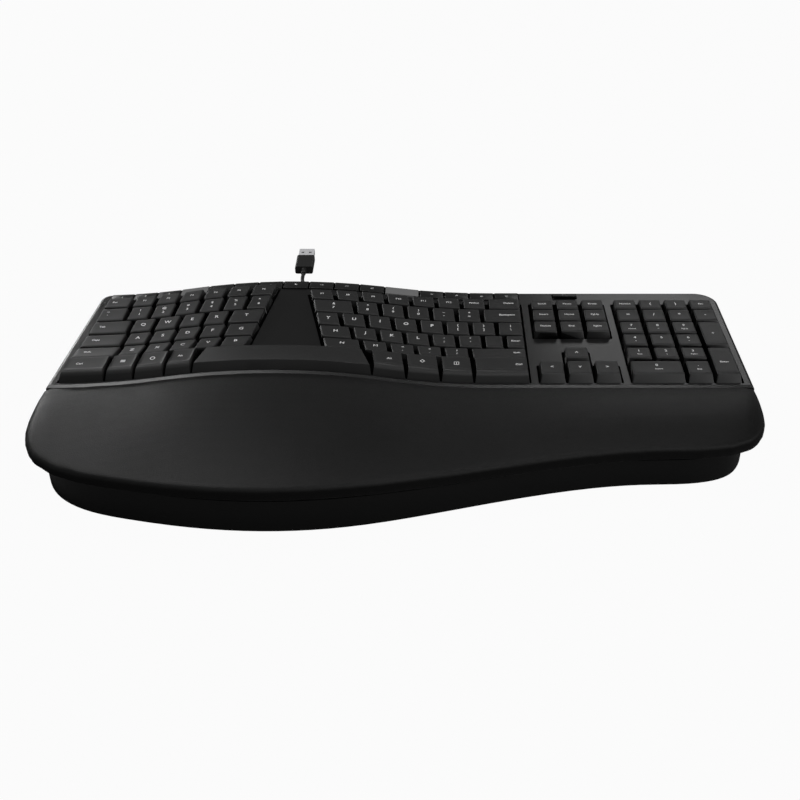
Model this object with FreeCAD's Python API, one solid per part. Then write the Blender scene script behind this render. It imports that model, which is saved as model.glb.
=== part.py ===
import FreeCAD, Part
import math
import os

# A wired ergonomic keyboard with a domed, split key field and a cushioned palm rest.
# X runs to the typist's right, Y away from the typist and Z up, in millimetres.
# The origin lies on the desk, under the middle of the outline.

V = FreeCAD.Vector

# Overall outline
WIDTH = 459.4
HALF_WIDTH = WIDTH / 2
LEFT_BACK_X = -223.4
BACK_LEFT_Y = 114.6
BACK_RIGHT_Y = 118.2
BACK_CREST_Y = 128.4
BACK_LEFT_RADIUS = 8.0
BACK_RIGHT_RADIUS = 16.0

# The deck falls towards the back and carries one hump, whose crest lies between the two hands
DECK_FRONT_Z = 25.1
DECK_TILT = 4.0
SLOPE = math.tan(math.radians(DECK_TILT))
CREST_X = -84.0
HUMP_HALF_WIDTH = 146.0
HUMP_RISE = 5.0
SEAM_Y = -18.1
SEAM_BULGE = 11.0

# Shells
WALL = 2.2
SKIN = 3.4
EDGE_ROUND = 2.4
FRONT_BEVEL = 1.4
SPLIT_Z = 8.8
FOOT_HEIGHT = 1.5
FLOOR = 2.0
FLANGE = 1.1
BASE_SIDE_INSET = 5.0
BASE_BACK_INSET = 3.0
UNDERCUT_BULGE = 9.0
PLINTH_LEFT_INSET = 10.2
PLINTH_RIGHT_INSET = 12.0
PLINTH_FRONT_INSET = 1.5
PLINTH_FLARE_Y = -22.0
SHELL_GAP = 0.1
SEAM_GAP = 0.3

# Palm rest: the front edge from left to right, then its heights
PALM_FRONT = (
    (-229.7, -48.0), (-229.2, -60.0), (-226.0, -78.0), (-216.0, -98.2), (-198.0, -112.0), (-165.0, -122.5),
    (-125.0, -129.8), (-85.0, -133.0), (-35.0, -130.1), (40.0, -113.2), (100.0, -98.6),
    (160.0, -90.6), (196.0, -88.4), (216.0, -80.2), (226.5, -62.5), (229.3, -46.0), (229.7, -34.0),
)
LIP_LEFT_Z = 24.0
LIP_RIGHT_Z = 20.5
LIP_WAVE_X = 12.0
LIP_WAVE_HALF = 75.0
CARRIER_BOTTOM = 17.5
CARRIER_TOP = 20.0
CARRIER_SIDE_INSET = 15.8
CARRIER_FRONT_INSET = 4.6
PALM_TOP = 32.0
PALM_CREST_RISE = 6.0
LIP_HEIGHT = 8.8
LIP_ROUND = 4.5
LIP_UNDER = 1.8
PALM_SECTIONS = 22
PALM_ENDS = ((0.25, 0.22), (1.0, 0.45), (2.6, 0.68), (5.4, 0.85), (10.0, 0.96), (14.7, 1.0), (15.1, 1.0), (28.0, 1.0))
STEP_FROM_END = 15.0

# Rows of keys, as distances from the front edge of the key field
FIELD_FRONT_Y = -13.2
FRONT_ROW_DEPTH = 22.0
ROW_PITCH = 18.2
TOP_ROW_DEPTH = 16.7
ARCH = 9.5
ARCH_GAIN_LEFT = 5.5
ARCH_LOSS_RIGHT = 2.8
FIELD_DEPTH = FRONT_ROW_DEPTH + 4 * ROW_PITCH + TOP_ROW_DEPTH

# The columns fan out: their lean in degrees, from the outer end of each block to its inner end
LEFT_OUTER_X = -223.2
LEFT_OUTER_LEAN = 4.0
LEFT_INNER_X = -106.6
LEFT_INNER_LEAN = 8.5
LEFT_END_LEAN = 7.4
RIGHT_INNER_X = -47.5
RIGHT_INNER_LEAN = -10.5
RIGHT_END_LEAN = -11.6
RIGHT_OUTER_X = 85.0

# Keycaps
CAP_GAP = 1.0
CAP_WALL = 1.1
CAP_CEILING = 1.4
CAP_SIDE_DRAFT = 1.3
CAP_FRONT_DRAFT = 1.7
CAP_BACK_DRAFT = 0.8
FRONT_ROW_DRAFT = 3.6
SKIRT_DROP = 1.2
WELL_CLEARANCE = 0.5
POST = 4.0
POST_CLEARANCE = 0.3
TRAVEL = 2.0

# Layers under the deck, as depths below its surface
GUIDE_TOP = 3.5
GUIDE_THICKNESS = 1.5
POST_DEPTH = 5.2
DOME_GAP = 0.2
SHEET_TOP = 8.0
SHEET_THICKNESS = 0.5
MEMBRANE_THICKNESS = 0.3
BACKING_THICKNESS = 1.0
DOME_FOOT = 6.0
DOME_HEAD = 3.2
STRIP_DOME_FOOT = 3.6
STRIP_DOME_HEAD = 2.4
LAYER_INSET = 6.0

# Buttons along the back edge, from left to right: kind and width
STRIP_START_X = -216.5
STRIP_RIM = 1.2
STRIP_DEPTH = 12.6
STRIP_CELLS = (
    [("favourite_buttons", 17.0)] * 3 + [("indicator_windows", 20.4)]
    + [("media_buttons", 18.2)] * 3 + [("media_buttons", 19.2)] + [("media_buttons", 18.8)] * 3
    + [("indicator_windows", 25.6)] + [("shortcut_buttons", 18.4)] * 4
)
STRIP_HEIGHT = 1.0
STRIP_GAP = 0.8

# Number pad, navigation keys and arrows
PAD_X = 150.6
PAD_PITCH = 18.25
NAV_X = 90.6
NAV_PITCH = 18.2
NAV_FRONT = 60.0
CALCULATOR_WIDTH = 18.4
CALCULATOR_DEPTH = 7.4
CALCULATOR_FRONT = 121.0

# Cable
CORD_DIAMETER = 2.8
CORD_RADIUS = CORD_DIAMETER / 2
HANK_X = -104.0
HANK_Y = 131.4
HANK_RUN = 84.0
HANK_PITCH = 3.4
HANK_FOLD = 8.5
HANK_Z = 2.0
TURNS_BELOW = 2
TIE_WIDTH = 8.0
TIE_THICKNESS = 0.4
TIE_CLEARANCE = 0.2
EXIT_X = -200.0
EXIT_Z = 5.0
RELIEF_LENGTH = 8.0
PLUG_X = -81.0
PLUG_REAR_Y = 174.4
PLUG_Z = 3.25
GRIP_LENGTH = 19.0
GRIP_WIDTH = 14.0
GRIP_THICKNESS = 6.5
SHELL_LENGTH = 12.0
SHELL_WIDTH = 12.0
SHELL_THICKNESS = 4.5
SHELL_WALL = 0.3
TONGUE_THICKNESS = 1.9

# Fold-out legs
LEG_X = 150.0
LEG_HINGE_Y = -76.0
LEG_HINGE_Z = 5.2
LEG_WIDTH = 50.0
LEG_LENGTH = 27.0
LEG_THICKNESS = 3.6
LEG_BARREL = 2.6
LEG_TIP = 2.5
PIN_RADIUS = 1.0
PIN_CLEARANCE = 0.08
POCKET_GAP = 0.8
POCKET_TOP = 8.6

# Feet, screws and board
FOOT_RADIUS = 7.0
FOOT_RECESS = 0.6
FOOT_PLACES = ((-185.0, -92.0), (-60.0, -108.0), (185.0, -72.0), (-195.0, 92.0), (-84.0, 104.0), (195.0, 98.0))
BOSS_RADIUS = 3.0
SCREW_RADIUS = 1.2
SCREW_HEAD_RADIUS = 2.4
SCREW_HEAD_DEPTH = 1.6
DECK_SCREWS = ((-77.0, 62.0), (100.0, 28.0), (136.0, 28.0))
PALM_SCREWS = ((-200.0, -60.0), (-84.0, -90.0), (20.0, -80.0), (95.0, -60.0), (200.0, -50.0))
BOARD_LENGTH = 62.0
BOARD_DEPTH = 26.0
BOARD_X = -84.0
BOARD_Y = -55.0
BOARD_Z = 8.0
BOARD_THICKNESS = 1.6

TALL = 80.0
nodes = {}


def add(name, *solids):
    """Files one or more separate solids under a node's name."""
    nodes.setdefault(name, []).extend(solids)


def hump(x, rise):
    """Hump of the given rise over the crest: two arcs on each side, level at both ends."""
    far = abs(x - CREST_X)
    if far >= HUMP_HALF_WIDTH:
        return 0.0
    radius = (HUMP_HALF_WIDTH ** 2 + rise ** 2) / (4 * rise)
    if far <= HUMP_HALF_WIDTH / 2:
        return rise - radius + math.sqrt(radius ** 2 - far ** 2)
    return radius - math.sqrt(radius ** 2 - (HUMP_HALF_WIDTH - far) ** 2)


def deck_slope(x):
    """Slope of the deck across the hump at x."""
    return (hump(x + 0.5, HUMP_RISE) - hump(x - 0.5, HUMP_RISE))


def deck_z(x, y):
    return DECK_FRONT_Z + hump(x, HUMP_RISE) - SLOPE * (y - SEAM_Y)


def seam_y(x):
    return SEAM_Y + hump(x, SEAM_BULGE)


def back_y(x, undercut=0.0):
    start = BACK_LEFT_Y if x < CREST_X else BACK_RIGHT_Y
    return start + hump(x, BACK_CREST_Y - start - undercut)


def arch_left(v):
    return ARCH + ARCH_GAIN_LEFT * (v / FIELD_DEPTH) ** 2


def arch_right(v):
    return ARCH - ARCH_LOSS_RIGHT * v / FIELD_DEPTH


def left_y(x, v):
    return FIELD_FRONT_Y + v + hump(x, arch_left(v))


def right_y(x, v):
    return FIELD_FRONT_Y + v + hump(x, arch_right(v))


def straight_y(x, v):
    return FIELD_FRONT_Y + v


def lean_left(x):
    share = (x - LEFT_OUTER_X) / (LEFT_INNER_X - LEFT_OUTER_X)
    return LEFT_OUTER_LEAN + (LEFT_INNER_LEAN - LEFT_OUTER_LEAN) * share


def lean_right(x):
    share = (RIGHT_OUTER_X - x) / (RIGHT_OUTER_X - RIGHT_INNER_X)
    return RIGHT_INNER_LEAN * share


def no_lean(x):
    return 0.0


def run(a, b):
    return Part.LineSegment(a, b).toShape()


def humped(point, x1, x2):
    """Edges along point(x) from x1 to x2: one arc for each quarter of the hump, lines on the flats."""
    half = HUMP_HALF_WIDTH / 2
    breaks = [CREST_X + k * half for k in (-2, -1, 0, 1, 2)]
    low, high = min(x1, x2), max(x1, x2)
    stops = [low] + [b for b in breaks if low + 0.5 < b < high - 0.5] + [high]
    if x1 > x2:
        stops.reverse()
    edges = []
    for start, end in zip(stops, stops[1:]):
        middle = (start + end) / 2
        a, m, b = point(start), point(middle), point(end)
        if abs(middle - CREST_X) >= HUMP_HALF_WIDTH:
            edges.append(run(a, b))
        else:
            edges.append(Part.Arc(a, m, b).toShape())
    return edges


def flat(fn, z=0.0):
    """Turns y = fn(x) into a point on a level plane."""
    return lambda x: V(x, fn(x), z)


def prism(edges, low, high):
    face = Part.Face(Part.Wire(edges))
    face.translate(V(0, 0, low))
    return face.extrude(V(0, 0, high - low))


def block(x1, x2, y1, y2, z1, z2):
    return Part.makeBox(x2 - x1, y2 - y1, z2 - z1, V(x1, y1, z1))


def layer(top, bottom):
    """Sheet that follows the deck, between two depths below its surface."""
    start = SEAM_Y - 30
    length = BACK_CREST_Y + 40 - start
    lift = -SLOPE * (start - SEAM_Y)
    side = HALF_WIDTH + 5

    def at(depth):
        return lambda x: V(x, start, DECK_FRONT_Z + lift + hump(x, HUMP_RISE) - depth)

    upper, lower = at(top), at(bottom)
    edges = humped(upper, -side, side) + [run(upper(side), lower(side))]
    edges += humped(lower, side, -side) + [run(lower(-side), upper(-side))]
    return Part.Face(Part.Wire(edges)).extrude(V(0, length, -SLOPE * length))


def deck_prism(inset, low, high):
    """Upright prism on the deck's outline, drawn in by inset."""
    left_front, left_back = -HALF_WIDTH + inset, LEFT_BACK_X + inset
    right = HALF_WIDTH - inset
    front = flat(lambda x: seam_y(x) + inset)
    back = flat(lambda x: back_y(x) - inset)
    edges = humped(front, right, left_front) + [run(front(left_front), back(left_back))]
    edges += humped(back, left_back, right) + [run(back(right), front(right))]
    solid = prism(edges, low, high)
    for corner_x, radius in ((left_back, BACK_LEFT_RADIUS), (right, BACK_RIGHT_RADIUS)):
        corner = [e for e in solid.Edges if abs(e.Vertexes[0].X - corner_x) < 0.01
                  and abs(e.Vertexes[0].Y - back(corner_x).y) < 0.01
                  and abs(e.Length - (high - low)) < 0.01]
        solid = solid.makeFillet(max(radius - inset, 2.0), corner)
    return solid


def palm_curve(left_inset, right_inset, front_inset):
    """Front edge of the palm rest as one smooth curve, from left to right."""
    scale = (WIDTH - left_inset - right_inset) / WIDTH
    shift = (left_inset - right_inset) / 2
    points = [V(x * scale + shift, y + front_inset, 0) for x, y in PALM_FRONT]
    curve = Part.BSplineCurve()
    curve.interpolate(points)
    return curve.toShape(), points[0], points[-1]


def base_prism(inset, low, high):
    """Prism on the outline of the tray and plinth, drawn in by inset."""
    front, left_end, right_end = palm_curve(PLINTH_LEFT_INSET + inset, PLINTH_RIGHT_INSET + inset,
                                            PLINTH_FRONT_INSET + inset)
    left_front = V(-HALF_WIDTH + BASE_SIDE_INSET + inset, PLINTH_FLARE_Y, 0)
    right_front = V(HALF_WIDTH - BASE_SIDE_INSET - inset, PLINTH_FLARE_Y, 0)
    left_back = LEFT_BACK_X + BASE_SIDE_INSET + inset

    def rear(x):
        return rear_wall_y(x) - inset

    back = flat(rear)
    edges = [front, run(right_end, right_front), run(right_front, back(right_front.x))]
    edges += humped(back, right_front.x, left_back)
    edges += [run(back(left_back), left_front), run(left_front, left_end)]
    solid = prism(edges, low, high)
    for corner_x, radius in ((left_back, BACK_LEFT_RADIUS), (right_front.x, BACK_RIGHT_RADIUS)):
        corner = [e for e in solid.Edges if abs(e.Vertexes[0].X - corner_x) < 0.01
                  and abs(e.Vertexes[0].Y - back(corner_x).y) < 0.01
                  and abs(e.Length - (high - low)) < 0.01]
        solid = solid.makeFillet(max(radius - BASE_SIDE_INSET - inset, 2.0), corner)
    return solid


def ahead_of_seam(gap, low, high):
    """Everything in front of the seam between palm rest and deck."""
    side = HALF_WIDTH + 5
    front = flat(lambda x: seam_y(x) - gap)
    far = -HALF_WIDTH
    edges = humped(front, -side, side) + [run(front(side), V(side, far, 0))]
    edges += [run(V(side, far, 0), V(-side, far, 0)), run(V(-side, far, 0), front(-side))]
    return prism(edges, low, high)


def lip_z(x):
    """Height of the cushion's lower edge: level at the left, lower at the right, two arcs between."""
    drop = (LIP_LEFT_Z - LIP_RIGHT_Z) / 2
    offset = x - LIP_WAVE_X
    if abs(offset) >= LIP_WAVE_HALF:
        return LIP_LEFT_Z if offset < 0 else LIP_RIGHT_Z
    radius = (LIP_WAVE_HALF ** 2 + drop ** 2) / (2 * drop)
    fall = radius - math.sqrt(radius ** 2 - (LIP_WAVE_HALF - abs(offset)) ** 2)
    return LIP_LEFT_Z - fall if offset < 0 else LIP_RIGHT_Z + fall


def below_lip(gap):
    """Everything under the cushion's lower edge, lowered by gap."""
    side, y = HALF_WIDTH + 5, -WIDTH / 2

    def p(x):
        return V(x, y, lip_z(x) - gap)

    half = LIP_WAVE_HALF / 2
    a, b, c, d, e = [LIP_WAVE_X + k * half for k in (-2, -1, 0, 1, 2)]
    edges = [run(p(-side), p(a)), Part.Arc(p(a), p(b), p(c)).toShape(), Part.Arc(p(c), p(d), p(e)).toShape(),
             run(p(e), p(side)), run(p(side), V(side, y, 0)), run(V(side, y, 0), V(-side, y, 0)),
             run(V(-side, y, 0), p(-side))]
    return Part.Face(Part.Wire(edges)).extrude(V(0, WIDTH, 0))


def cut_point(planes):
    """Point where three planes meet, each given as a point and a normal."""
    (p, n), (q, m), (r, k) = planes
    turn = n.dot(m.cross(k))
    total = m.cross(k) * p.dot(n) + k.cross(n) * q.dot(m) + n.cross(m) * r.dot(k)
    return total / turn


def polygon(points):
    return Part.makePolygon(list(points) + [points[0]])


def holed_face(wires):
    return Part.makeFace(Part.makeCompound(wires), "Part::FaceMakerBullseye")


def closed_solid(faces):
    """Solid inside a set of faces that meet edge to edge."""
    shell = Part.Shell(faces)
    shell.sewShape()
    solid = Part.Solid(shell)
    if solid.Volume < 0:
        solid.reverse()
    return solid


def local_frame(x, y):
    """Point on the deck with unit vectors across it, up its slope and out of it."""
    across = V(1, 0, deck_slope(x)).normalize()
    normal = across.cross(V(0, 1, -SLOPE)).normalize()
    return V(x, y, deck_z(x, y)), across, normal


def frustum(base, normal, drafts, top_plane):
    """Corners of the flat top that four drafted sides leave on a plane."""
    sides = []
    for i, draft in enumerate(drafts):
        along = (base[(i + 1) % 4] - base[i]).normalize()
        outward = along.cross(normal)
        sides.append((base[i], (outward + normal * math.tan(draft)).normalize()))
    return [cut_point((sides[i - 1], sides[i], top_plane)) for i in range(4)]


def inset_quad(base, normal, margins):
    """The four sides of a base, each moved inwards by its own margin."""
    sides = []
    for i, margin in enumerate(margins):
        along = (base[(i + 1) % 4] - base[i]).normalize()
        outward = along.cross(normal)
        sides.append((base[i] - outward * margin, outward))
    floor = (base[0], normal)
    return [cut_point((sides[i - 1], sides[i], floor)) for i in range(4)]


def keycap(corners, heights, drafts, posts=(0.0,), gap=CAP_GAP, post=POST, drop=SKIRT_DROP):
    """Hollow cap with flat drafted sides, a sloping top and square posts under it.

    corners are the plan points of its place, front left, front right, back right, back left;
    heights are those of the top's front and back edges above the deck, drafts the inward lean
    of front, right, back and left side over the cap's height.
    """
    cx = sum(c[0] for c in corners) / 4
    cy = sum(c[1] for c in corners) / 4
    centre, across, normal = local_frame(cx, cy)
    uphill = normal.cross(across)

    def on_plane(x, y):
        dx = x - cx
        rest = y - cy
        return centre + across * (dx / across.x) + uphill * (rest / uphill.y) - normal * drop

    base = [on_plane(x, y) for x, y in corners]
    base = inset_quad(base, normal, [gap / 2] * 4)
    front_mid = (base[0] + base[1]) * 0.5
    back_mid = (base[2] + base[3]) * 0.5
    full = sum(heights) / 2 + drop
    angles = [math.atan2(draft, full) for draft in drafts]
    top_front = front_mid + normal * (heights[0] + drop)
    rise = (back_mid + normal * (heights[1] + drop)) - top_front
    top_normal = across.cross(rise).normalize()
    top = frustum(base, normal, angles, (top_front, top_normal))
    inner_base = inset_quad(base, normal, [CAP_WALL] * 4)
    ceiling_plane = (top_front - top_normal * CAP_CEILING, top_normal)
    inner_top = frustum(inner_base, normal, angles, ceiling_plane)

    faces = [Part.Face(polygon(top)), holed_face([polygon(base), polygon(inner_base)])]
    for i in range(4):
        j = (i + 1) % 4
        faces.append(Part.Face(polygon([base[i], base[j], top[j], top[i]])))
        faces.append(Part.Face(polygon([inner_base[i], inner_base[j], inner_top[j], inner_top[i]])))
    half = post / 2
    holes = []
    for offset in posts:
        foot_centre = centre + across * offset - normal * POST_DEPTH
        foot = [foot_centre + across * (sx * half) + uphill * (sy * half)
                for sx, sy in ((-1, -1), (1, -1), (1, 1), (-1, 1))]
        head = []
        for corner in foot:
            reach = (ceiling_plane[0] - corner).dot(top_normal) / normal.dot(top_normal)
            head.append(corner + normal * reach)
        faces.append(Part.Face(polygon(foot)))
        faces += [Part.Face(polygon([foot[i], foot[(i + 1) % 4], head[(i + 1) % 4], head[i]]))
                  for i in range(4)]
        holes.append(polygon(head))
        post_places.append((foot_centre, across, uphill, normal, half))
    faces.append(holed_face([polygon(inner_top)] + holes))
    solid = closed_solid(faces)
    main = posts[len(posts) // 2]
    dome_places.append((centre + across * main, across, uphill, normal, post < POST))
    return solid


post_places = []
dome_places = []


def quad(x1, x2, v1, v2, line, lean):
    """Plan corners of the place between two column lines and two row lines."""
    depth = v2 - v1
    x3 = x2 + depth * math.tan(math.radians(lean(x2)))
    x4 = x1 + depth * math.tan(math.radians(lean(x1)))
    return ((x1, line(x1, v1)), (x2, line(x2, v1)), (x3, line(x3, v2)), (x4, line(x4, v2)))


# Rows: name, front and back distance, heights of the top's front and back edge
ROW_LINES = [0.0] + [FRONT_ROW_DEPTH + k * ROW_PITCH for k in range(5)] + [FIELD_DEPTH]
ROWS = {
    "front": (ROW_LINES[0], ROW_LINES[1], (5.6, 7.2)),
    "lower": (ROW_LINES[1], ROW_LINES[2], (5.4, 3.8)),
    "home": (ROW_LINES[2], ROW_LINES[3], (3.5, 3.9)),
    "upper": (ROW_LINES[3], ROW_LINES[4], (3.5, 4.8)),
    "number": (ROW_LINES[4], ROW_LINES[5], (3.9, 5.8)),
    "function": (ROW_LINES[5], ROW_LINES[6], (5.0, 5.6)),
}
PAD_HEIGHTS = ((4.9, 4.8), (5.6, 4.8), (5.5, 5.2), (5.0, 5.2), (4.9, 5.4), (4.9, 4.8))
FRONT_ROW_BACK_DRAFT = 0.6


def row_drafts(v1):
    front = FRONT_ROW_DRAFT if v1 == ROW_LINES[0] else CAP_FRONT_DRAFT
    return (front, CAP_SIDE_DRAFT, CAP_BACK_DRAFT, CAP_SIDE_DRAFT)


def block_key(x1, x2, row, side, posts=(0.0,)):
    v1, v2, heights = ROWS[row]
    line, lean = (left_y, lean_left) if side == "left" else (right_y, lean_right)
    return keycap(quad(x1, x2, v1, v2, line, lean), heights, row_drafts(v1), posts)


def left_end(v):
    """Outer and inner end of a left-hand row whose front is at distance v."""
    return (LEFT_OUTER_X + v * math.tan(math.radians(LEFT_OUTER_LEAN)),
            LEFT_INNER_X + v * math.tan(math.radians(LEFT_END_LEAN)))


def right_end(v):
    return RIGHT_INNER_X + v * math.tan(math.radians(RIGHT_END_LEAN)), RIGHT_OUTER_X


# Column lines between the keys of each row, at the row's front
LEFT_LETTER_X = -190.6
LEFT_LETTER_PITCH = 16.75
LEFT_TOP_X = -196.6
LEFT_TOP_PITCH = 16.7
LEFT_FRONT_LINES = (-193.3, -174.6, -154.9, -137.2)
SPACE_LEFT_LEAN = 15.0
RIGHT_FRONT_LINES = (-18.6, 3.9, 26.5, 48.3)
SPACE_RIGHT_LEAN = -16.0
RIGHT_LINES = {
    "function": (-48.5, 18.1, 6),
    "number": (-33.3, 17.9, 5),
    "upper": (-41.8, 17.95, 6),
    "home": (-32.9, 17.8, 5),
    "lower": (-25.5, 18.1, 4),
}
BLANK_KEY_WIDTH = 14.6


def key_row(name, lines, row, side):
    for x1, x2 in zip(lines, lines[1:]):
        add(name, block_key(x1, x2, row, side))


def left_block():
    letters = [LEFT_LETTER_X + k * LEFT_LETTER_PITCH for k in range(5)]
    single = {"upper": "tab_key", "home": "caps_lock_key", "lower": "left_shift_key"}
    for row, node in single.items():
        outer, inner = left_end(ROWS[row][0])
        add(node, block_key(outer, letters[0], row, "left"))
        key_row(row + "_letter_keys_left", letters + [inner], row, "left")
    tops = [LEFT_TOP_X + k * LEFT_TOP_PITCH for k in range(6)]
    for row in ("number", "function"):
        outer, inner = left_end(ROWS[row][0])
        key_row(row + "_keys_left", [outer] + tops + [inner], row, "left")
    outer = left_end(0)[0]
    key_row("modifier_keys_left", (outer,) + LEFT_FRONT_LINES, "front", "left")


def right_block():
    for row, (first, pitch, count) in RIGHT_LINES.items():
        inner, outer = right_end(ROWS[row][0])
        lines = [inner] + [first + k * pitch for k in range(count + 1)]
        if row == "function":
            key_row("function_keys_right", lines + [outer], row, "right")
        elif row == "number":
            key_row("number_keys_right", lines, row, "right")
            add("backspace_key", block_key(lines[-1], outer, row, "right"))
        elif row == "upper":
            key_row("upper_letter_keys_right", lines + [outer], row, "right")
        elif row == "home":
            blank_end = lines[-1] + BLANK_KEY_WIDTH
            key_row("home_letter_keys_right", lines + [blank_end], row, "right")
            add("enter_key", block_key(blank_end, outer, row, "right"))
        else:
            key_row("lower_letter_keys_right", lines, row, "right")
            add("right_shift_key", block_key(lines[-1], outer, row, "right"))
    key_row("modifier_keys_right", RIGHT_FRONT_LINES + (RIGHT_OUTER_X,), "front", "right")


def curved_shell(front_bottom, front_top, back_top, back_bottom):
    """Solid between four edges that run the same way, closed by flat or ruled ends."""
    rings = [front_bottom, front_top, back_top, back_bottom]
    faces = [Part.makeRuledSurface(rings[i], rings[(i + 1) % 4]) for i in range(4)]
    for end in (0, -1):
        ends = [ring.Vertexes[end].Point for ring in rings]
        sides = [run(ends[0], ends[1]), run(ends[3], ends[2])]
        faces.append(Part.makeRuledSurface(*sides))
    return closed_solid(faces)


def space_outline(inset, lift_front, lift_back, x_inset, front_inset, back_inset):
    """Front and back edge of the space bar at one level, as arcs over the crest."""
    left = LEFT_FRONT_LINES[-1] + inset + x_inset
    right = RIGHT_FRONT_LINES[0] - inset - x_inset
    depth = ROW_LINES[1]
    left_back = left + depth * math.tan(math.radians(SPACE_LEFT_LEAN))
    right_back = right + depth * math.tan(math.radians(SPACE_RIGHT_LEAN))

    def edge(x1, x2, v, lift):
        def at(x):
            y = left_y(x, v)
            return V(x, y, deck_z(x, y) + lift)
        return Part.Arc(at(x1), at((x1 + x2) / 2), at(x2)).toShape()

    front = edge(left, right, inset + front_inset, lift_front)
    back = edge(left_back, right_back, depth - inset - back_inset, lift_back)
    return front, back


def space_bar():
    """One wide bar over the crest, curved in plan and in height, hollow, on three posts."""
    heights = ROWS["front"][2]
    gap = CAP_GAP / 2
    front_low, back_low = space_outline(gap, -SKIRT_DROP, -SKIRT_DROP, 0, 0, 0)
    front_high, back_high = space_outline(
        gap, heights[0], heights[1], CAP_SIDE_DRAFT, FRONT_ROW_DRAFT, CAP_BACK_DRAFT)
    outer = curved_shell(front_low, front_high, back_high, back_low)
    wall = gap + CAP_WALL
    under = SKIRT_DROP + 1
    front_low, back_low = space_outline(wall, -under, -under, -0.2, -0.4, -0.1)
    front_high, back_high = space_outline(
        wall, heights[0] - CAP_CEILING, heights[1] - CAP_CEILING,
        CAP_SIDE_DRAFT, FRONT_ROW_DRAFT, CAP_BACK_DRAFT)
    solid = outer.cut(curved_shell(front_low, front_high, back_high, back_low))
    left, right = LEFT_FRONT_LINES[-1], RIGHT_FRONT_LINES[0]
    middle = (left + right) / 2
    depth = ROW_LINES[1]
    for share in (-0.34, 0.0, 0.34):
        x = middle + share * (right - left)
        y = left_y(x, depth * 0.55)
        centre, across, normal = local_frame(x, y)
        uphill = normal.cross(across)
        half = POST / 2
        foot_centre = centre - normal * POST_DEPTH
        foot = [foot_centre + across * (sx * half) + uphill * (sy * half)
                for sx, sy in ((-1, -1), (1, -1), (1, 1), (-1, 1))]
        reach = POST_DEPTH + heights[0] - CAP_CEILING + 0.4
        solid = solid.fuse(Part.Face(polygon(foot)).extrude(normal * reach))
        post_places.append((foot_centre, across, uphill, normal, half))
        if share == 0.0:
            dome_places.append((centre, across, uphill, normal, False))
    add("space_bar", solid.removeSplitter())


def pad_key(column, row, columns=1, rows=1):
    x1 = PAD_X + column * PAD_PITCH
    v1, v2 = ROW_LINES[row], ROW_LINES[row + rows]
    heights = (PAD_HEIGHTS[row][0], PAD_HEIGHTS[row + rows - 1][1])
    corners = quad(x1, x1 + columns * PAD_PITCH, v1, v2, straight_y, no_lean)
    return keycap(corners, heights, row_drafts(v1))


def number_pad():
    for row in (1, 2, 3):
        add("numpad_number_keys", *[pad_key(column, row) for column in range(3)])
    add("numpad_number_keys", pad_key(2, 0))
    add("numpad_zero_key", pad_key(0, 0, columns=2))
    add("numpad_enter_key", pad_key(3, 0, rows=2))
    add("numpad_plus_key", pad_key(3, 2, rows=2))
    for row in (4, 5):
        add("numpad_operator_keys", *[pad_key(column, row) for column in range(4)])


def navigation():
    lines = (NAV_FRONT, (NAV_FRONT + ROW_LINES[5]) / 2, ROW_LINES[5], ROW_LINES[6])
    for row in range(3):
        for column in range(3):
            x1 = NAV_X + column * NAV_PITCH
            corners = quad(x1, x1 + NAV_PITCH, lines[row], lines[row + 1], straight_y, no_lean)
            add("navigation_keys", keycap(corners, PAD_HEIGHTS[3 + row], row_drafts(lines[row])))
    places = {"left_arrow_key": (0, 0), "down_arrow_key": (1, 0),
              "right_arrow_key": (2, 0), "up_arrow_key": (1, 1)}
    for name, (column, row) in places.items():
        x1 = NAV_X + column * NAV_PITCH
        v1, v2 = ROW_LINES[row], ROW_LINES[row + 1]
        corners = quad(x1, x1 + NAV_PITCH, v1, v2, straight_y, no_lean)
        add(name, keycap(corners, PAD_HEIGHTS[row], row_drafts(v1)))
    middle = NAV_X + 1.5 * NAV_PITCH
    corners = quad(middle - CALCULATOR_WIDTH / 2, middle + CALCULATOR_WIDTH / 2,
                   CALCULATOR_FRONT, CALCULATOR_FRONT + CALCULATOR_DEPTH, straight_y, no_lean)
    add("calculator_button",
        keycap(corners, (2.2, 1.0), (0.5, 0.4, 0.3, 0.4), gap=STRIP_GAP, post=STRIP_DOME_HEAD))


def strip_lines(x):
    rear = back_y(x) - STRIP_RIM
    return rear - STRIP_DEPTH, rear


def strip_lean(x):
    return lean_left(x) if x < CREST_X else 0.0


def strip():
    x1 = STRIP_START_X
    for name, width in STRIP_CELLS:
        x2 = x1 + width
        corners = ((x1, strip_lines(x1)[0]), (x2, strip_lines(x2)[0]),
                   (x2, strip_lines(x2)[1]), (x1, strip_lines(x1)[1]))
        button = keycap(corners, (STRIP_HEIGHT, STRIP_HEIGHT * 0.6), (0.3, 0.3, 0.3, 0.3),
                        gap=STRIP_GAP, post=STRIP_DOME_HEAD)
        add(name, button)
        x1 = x2


def well(edges):
    return prism(edges, 0, TALL)


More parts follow.
